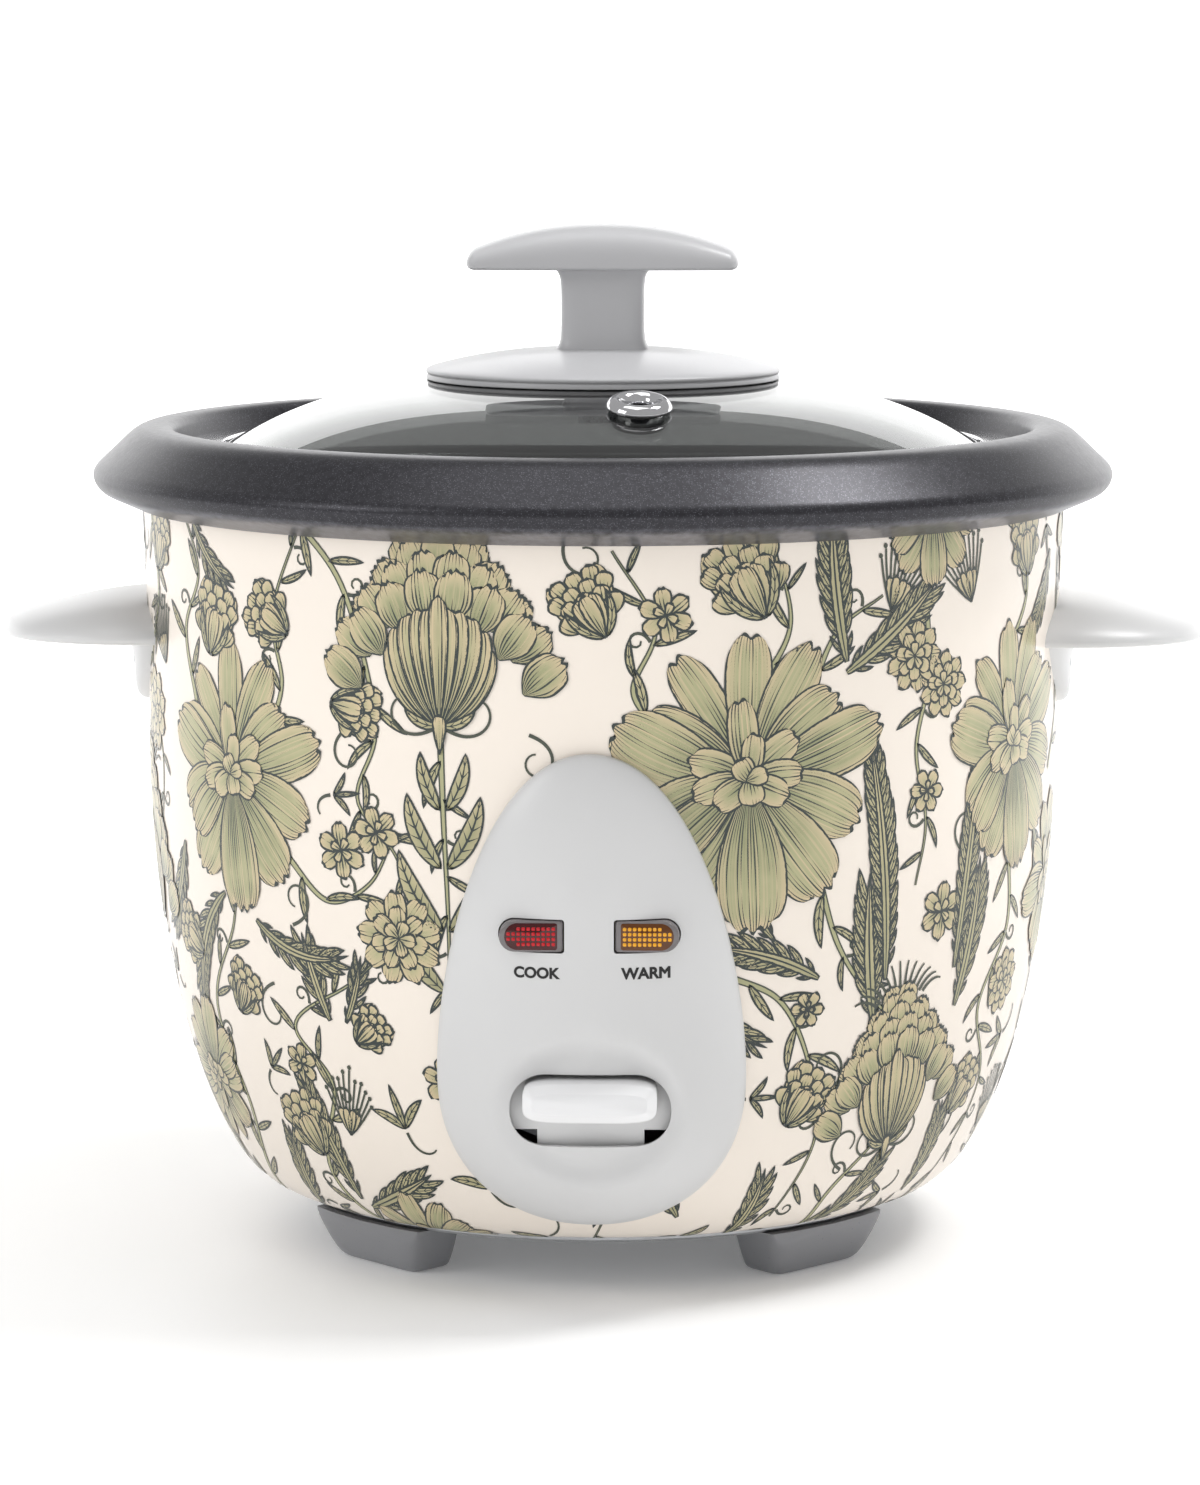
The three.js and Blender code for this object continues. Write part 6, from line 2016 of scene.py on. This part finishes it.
    def lever(self, white: Material, grey: Material) -> None:
        """The lever's white cap and the curved skirt behind the slot, wide above and narrow below.

        Args:
            white: The cap's finish.
            grey: The skirt's finish, the grey panel plastic, which paints shade on what is one white moulding
                with the cap.
        """
        low, _ = (np.array(corner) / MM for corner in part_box("lever_cap"))
        front, level, half_x, half_z = low[1] + 0.1, 43.75, 12.45, 3.85
        drawn_in = 2.0 * (1 - np.sin(np.linspace(0.0, math.pi / 2, 9)))
        depth = np.concatenate([[-88.0], front + 2.0 * (1 - np.cos(np.linspace(math.pi / 2, 0.0, 9)))])
        inset = np.concatenate([[0.0], 2.0 - drawn_in])[:, None]
        section = rounded_section(1.0, 1.0, 4.4, 80)
        rows = grid_points(section[:, 0] * (half_x - inset * 0.9), depth[:, None],
                      section[:, 1] * (half_z - inset * 0.9) + level)
        cap = mesh_object("lever_button", *lofted(rows), white, crease=50.0)
        placed(cap, "lever", "white_plastic", "lever_cap")
        skirts = [self.skirt(z0, z1, half) for z0, z1, half in ((37.0, 54.6, 15.5), (32.8, 38.0, 10.0))]
        # Painted shade: the skirt, moulded in one with the white cap, gets the darker grey plastic.
        placed(mesh_object("lever_skirt", *joined(*skirts), grey), "lever", "white_plastic", "lever_cap")

    def skirt(self, z0: float, z1: float, half: float) -> Skin:
        """A plate curved round the lever's pin: (x, py - r cos a, pz + r sin a).

        Args:
            z0: Height of its lower edge.
            z1: Height of its upper edge.
            half: Half its width.

        Returns:
            Points and faces.
        """
        pin_y, pin_z, radius = -44.0, 43.4, 43.7
        a = np.linspace(math.asin((z0 - pin_z) / radius), math.asin((z1 - pin_z) / radius), 14)
        arc = np.stack([pin_y - radius * np.cos(a), pin_z + radius * np.sin(a)], -1)
        inner = np.stack([pin_y - (radius - 1.1) * np.cos(a), pin_z + (radius - 1.1) * np.sin(a)], -1)
        section = np.vstack([arc, inner[::-1]])
        return lofted(grid_points(np.array([[-half], [half]]), section[:, 0], section[:, 1]))


# ---------------------------------------------------------------- carried-over nodes
CARRIED: dict[str, Any] = {
    "floor_plate": GALVANISED, "sensor_housing": GALVANISED, "lever_arm": GALVANISED,
                           "lever_bracket": GALVANISED,
    "thermal_fuse": SLEEVE, "keep_warm_pad": MICA, "lamp_board": MICA, "cook_lamp": SMOKE_LENS,
    "warm_lamp": SMOKE_LENS, "switch_body": BLACK_PHENOLIC, "inlet_socket": BLACK_PHENOLIC,
    "switch_plunger": BRASS, "inlet_pin_live": BRASS, "inlet_pin_neutral": BRASS, "inlet_pin_earth": BRASS,
    "sensor_ferrite": FERRITE, "magnet": FERRITE, "pull_rod": ZINC, "lever_pin": ZINC,
                           "knob_gasket": SILICONE,
}


def dress_nodes(cache: Callable[[Any], Material]) -> None:
    """Gives each node that is kept from the frame its finish.

    Args:
        cache: Makes a finish once and returns it afterwards.
    """
    for name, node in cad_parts.items():
        finish = CARRIED.get(name) or (ZINC if "screw" in name or "terminal" in name else None)
        if finish is None:
            continue
        node.data.materials.clear()
        node.data.materials.append(cache(finish))
        node.data.polygons.foreach_set("material_index", np.zeros(len(node.data.polygons), np.int32))


# ---------------------------------------------------------------- studio
@dataclass
class Studio:
    """A white table, a soft white room and the camera."""

    distance: float = 0.990
    height: float = 0.238
    turn: float = 1.5
    look_height: float = 0.0976
    lens: float = 119.7

    def build(self) -> None:
        """Makes the floor, the lights and the camera."""
        self.floor()
        self.sky()
        self.lamp("key", (-1.5, -0.9, 1.0), (0.0, 0.0, 0.1), 0.9, 7.5)
        self.lamp("strip", (0.85, 0.1, 1.65), (0.0, 0.0, 0.1), 0.5, 15.0)
        self.lamp("top", (-0.2, -0.2, 2.3), (0.0, 0.05, 0.0), 1.4, 11.0)
        self.camera()

    def floor(self) -> None:
        """The white table."""
        size = 6000.0
        points = np.array([[-size, -size, 0], [size, -size, 0], [size, size, 0], [-size, size, 0]], float)
        material, shader = new_material("white_table")
        place = add_node(material, "TexCoord").outputs["Object"]
        cloud = add_node(material, "TexNoise", {"Vector": place, "Scale": 3.0})
        mix = add_node(material, "Mix", {
            0: cloud.outputs["Fac"], 6: (0.93, 0.93, 0.93, 1.0), 7: (0.95, 0.95, 0.95, 1.0)},
            data_type="RGBA")
        feed(shader, {"Base Color": mix.outputs[2]})
        # Painted light: the table glows weakly beside the object, which lifts its shadow, and more strongly
        # further away, so that the floor reads pure white.
        away = add_node(material, "VectorMath", {0: place}, operation="LENGTH").outputs["Value"]
        painted_table_glow = add_node(material, "MapRange", {
            "Value": away, "From Min": 0.12, "From Max": 0.62, "To Min": 0.1, "To Max": 0.6},
            interpolation_type="SMOOTHSTEP")
        feed(shader, {"Emission Strength": painted_table_glow.outputs[0], "Emission Color": (1.0, 1.0, 1.0, 1.0),
                      "Roughness": 0.5, "Specular IOR Level": 0.3})
        table = mesh_object("white_table", points, np.array([[0, 1, 2, 3]]), material, closed=False)
        wall = mesh_object("white_wall", np.array([[-size, 3200.0, -10.0], [size, 3200.0, -10.0],
                                                   [size, 3200.0, 2050.0], [-size, 3200.0, 2050.0]]),
                           np.array([[0, 3, 2, 1]]), self.glowing(), closed=False)

    def glowing(self) -> Material:
        """The far wall, lit evenly from behind."""
        material, shader = new_material("lit_wall")
        feed(shader, {"Base Color": (0.02, 0.02, 0.02, 1.0), "Emission Color": (1.0, 1.0, 1.0, 1.0),
                      "Emission Strength": 2.0})
        return material

    def sky(self) -> None:
        """Even white light from everywhere."""
        world = bpy.data.worlds.new("room")
        world.use_nodes = True
        world.node_tree.nodes["Background"].inputs["Color"].default_value = (1.0, 1.0, 1.0, 1.0)
        world.node_tree.nodes["Background"].inputs["Strength"].default_value = 0.5
        bpy.context.scene.world = world
        bpy.context.scene.view_settings.view_transform = "Standard"

    def lamp(self, name: str, place: Sequence[float], aim: Sequence[float], size: float,
             power: float) -> None:
        """One soft square light.

        Args:
            name: The light's name.
            place: Where it stands.
            aim: What it points at.
            size: Length of its side in metres.
            power: Its power in watts.
        """
        light = bpy.data.lights.new(name, "AREA")
        light.shape = "SQUARE"
        light.size = size
        light.energy = power
        source = bpy.data.objects.new(name, light)
        source.location = place
        source.rotation_euler = (Vector(aim) - Vector(place)).to_track_quat("-Z", "Y").to_euler()
        bpy.context.scene.collection.objects.link(source)

    def camera(self) -> None:
        """The camera, a little to the right of the front and looking slightly down."""
        data = bpy.data.cameras.new("camera")
        data.lens = self.lens
        data.sensor_width = 36.0
        data.shift_x = -0.002
        data.clip_end = 50.0
        source = bpy.data.objects.new("camera", data)
        a = math.radians(self.turn)
        place = Vector((self.distance * math.sin(a), -self.distance * math.cos(a), self.height))
        source.location = place
        aim = Vector((0.0, 0.0, self.look_height))
        source.rotation_euler = (aim - place).to_track_quat("-Z", "Y").to_euler()
        bpy.context.scene.collection.objects.link(source)
        bpy.context.scene.camera = source


def main() -> None:
    """Builds every sub-assembly in order."""
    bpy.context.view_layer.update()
    made: dict[Any, Material] = {}

    def cache(finish: Any) -> Material:
        """Makes a finish once."""
        if finish not in made:
            made[finish] = finish.build()
        return made[finish]

    Studio().build()
    dress_nodes(cache)
    drum = Drum()
    drum.build(cache(Enamel()))
    BotanicalPrint(PrintSheet(drum)).build()
    CookingPot().build(cache(NonStick()))
    works = Works()
    works.liner(cache(GALVANISED))
    works.plate(cache(ALUMINIUM))
    works.thermostat(cache(ALUMINIUM), cache(SPRING_STEEL))
    works.wires(cache(SLEEVE), cache(RED_WIRE))
    lid = Lid()
    lid.glass_dome(cache(ClearGlass()))
    lid.band(cache(POLISHED))
    lid.vent(cache(POLISHED))
    lid.knob(cache(KNOB_ABS))
    SideHandle(drum).build(cache(GREY_ABS))
    Feet().build(cache(FOOT_PLASTIC))
    panel = Panel(drum)
    panel.shell(cache(GREY_ABS))
    panel.lens(-1, "cook", cache(RED_LENS), cache(RED_BASE), cache(SMOKE_LENS))
    panel.lens(1, "warm", cache(AMBER_LENS), cache(AMBER_BASE), cache(SMOKE_LENS))
    panel.word("COOK", -9.6, 68.6, 8.6, cache(LABEL_INK))
    panel.word("WARM", 10.4, 68.6, 9.1, cache(LABEL_INK))
    panel.lever(cache(WHITE_ABS), cache(GREY_ABS))
    bpy.context.view_layer.update()


if __name__ == "__main__":
    main()
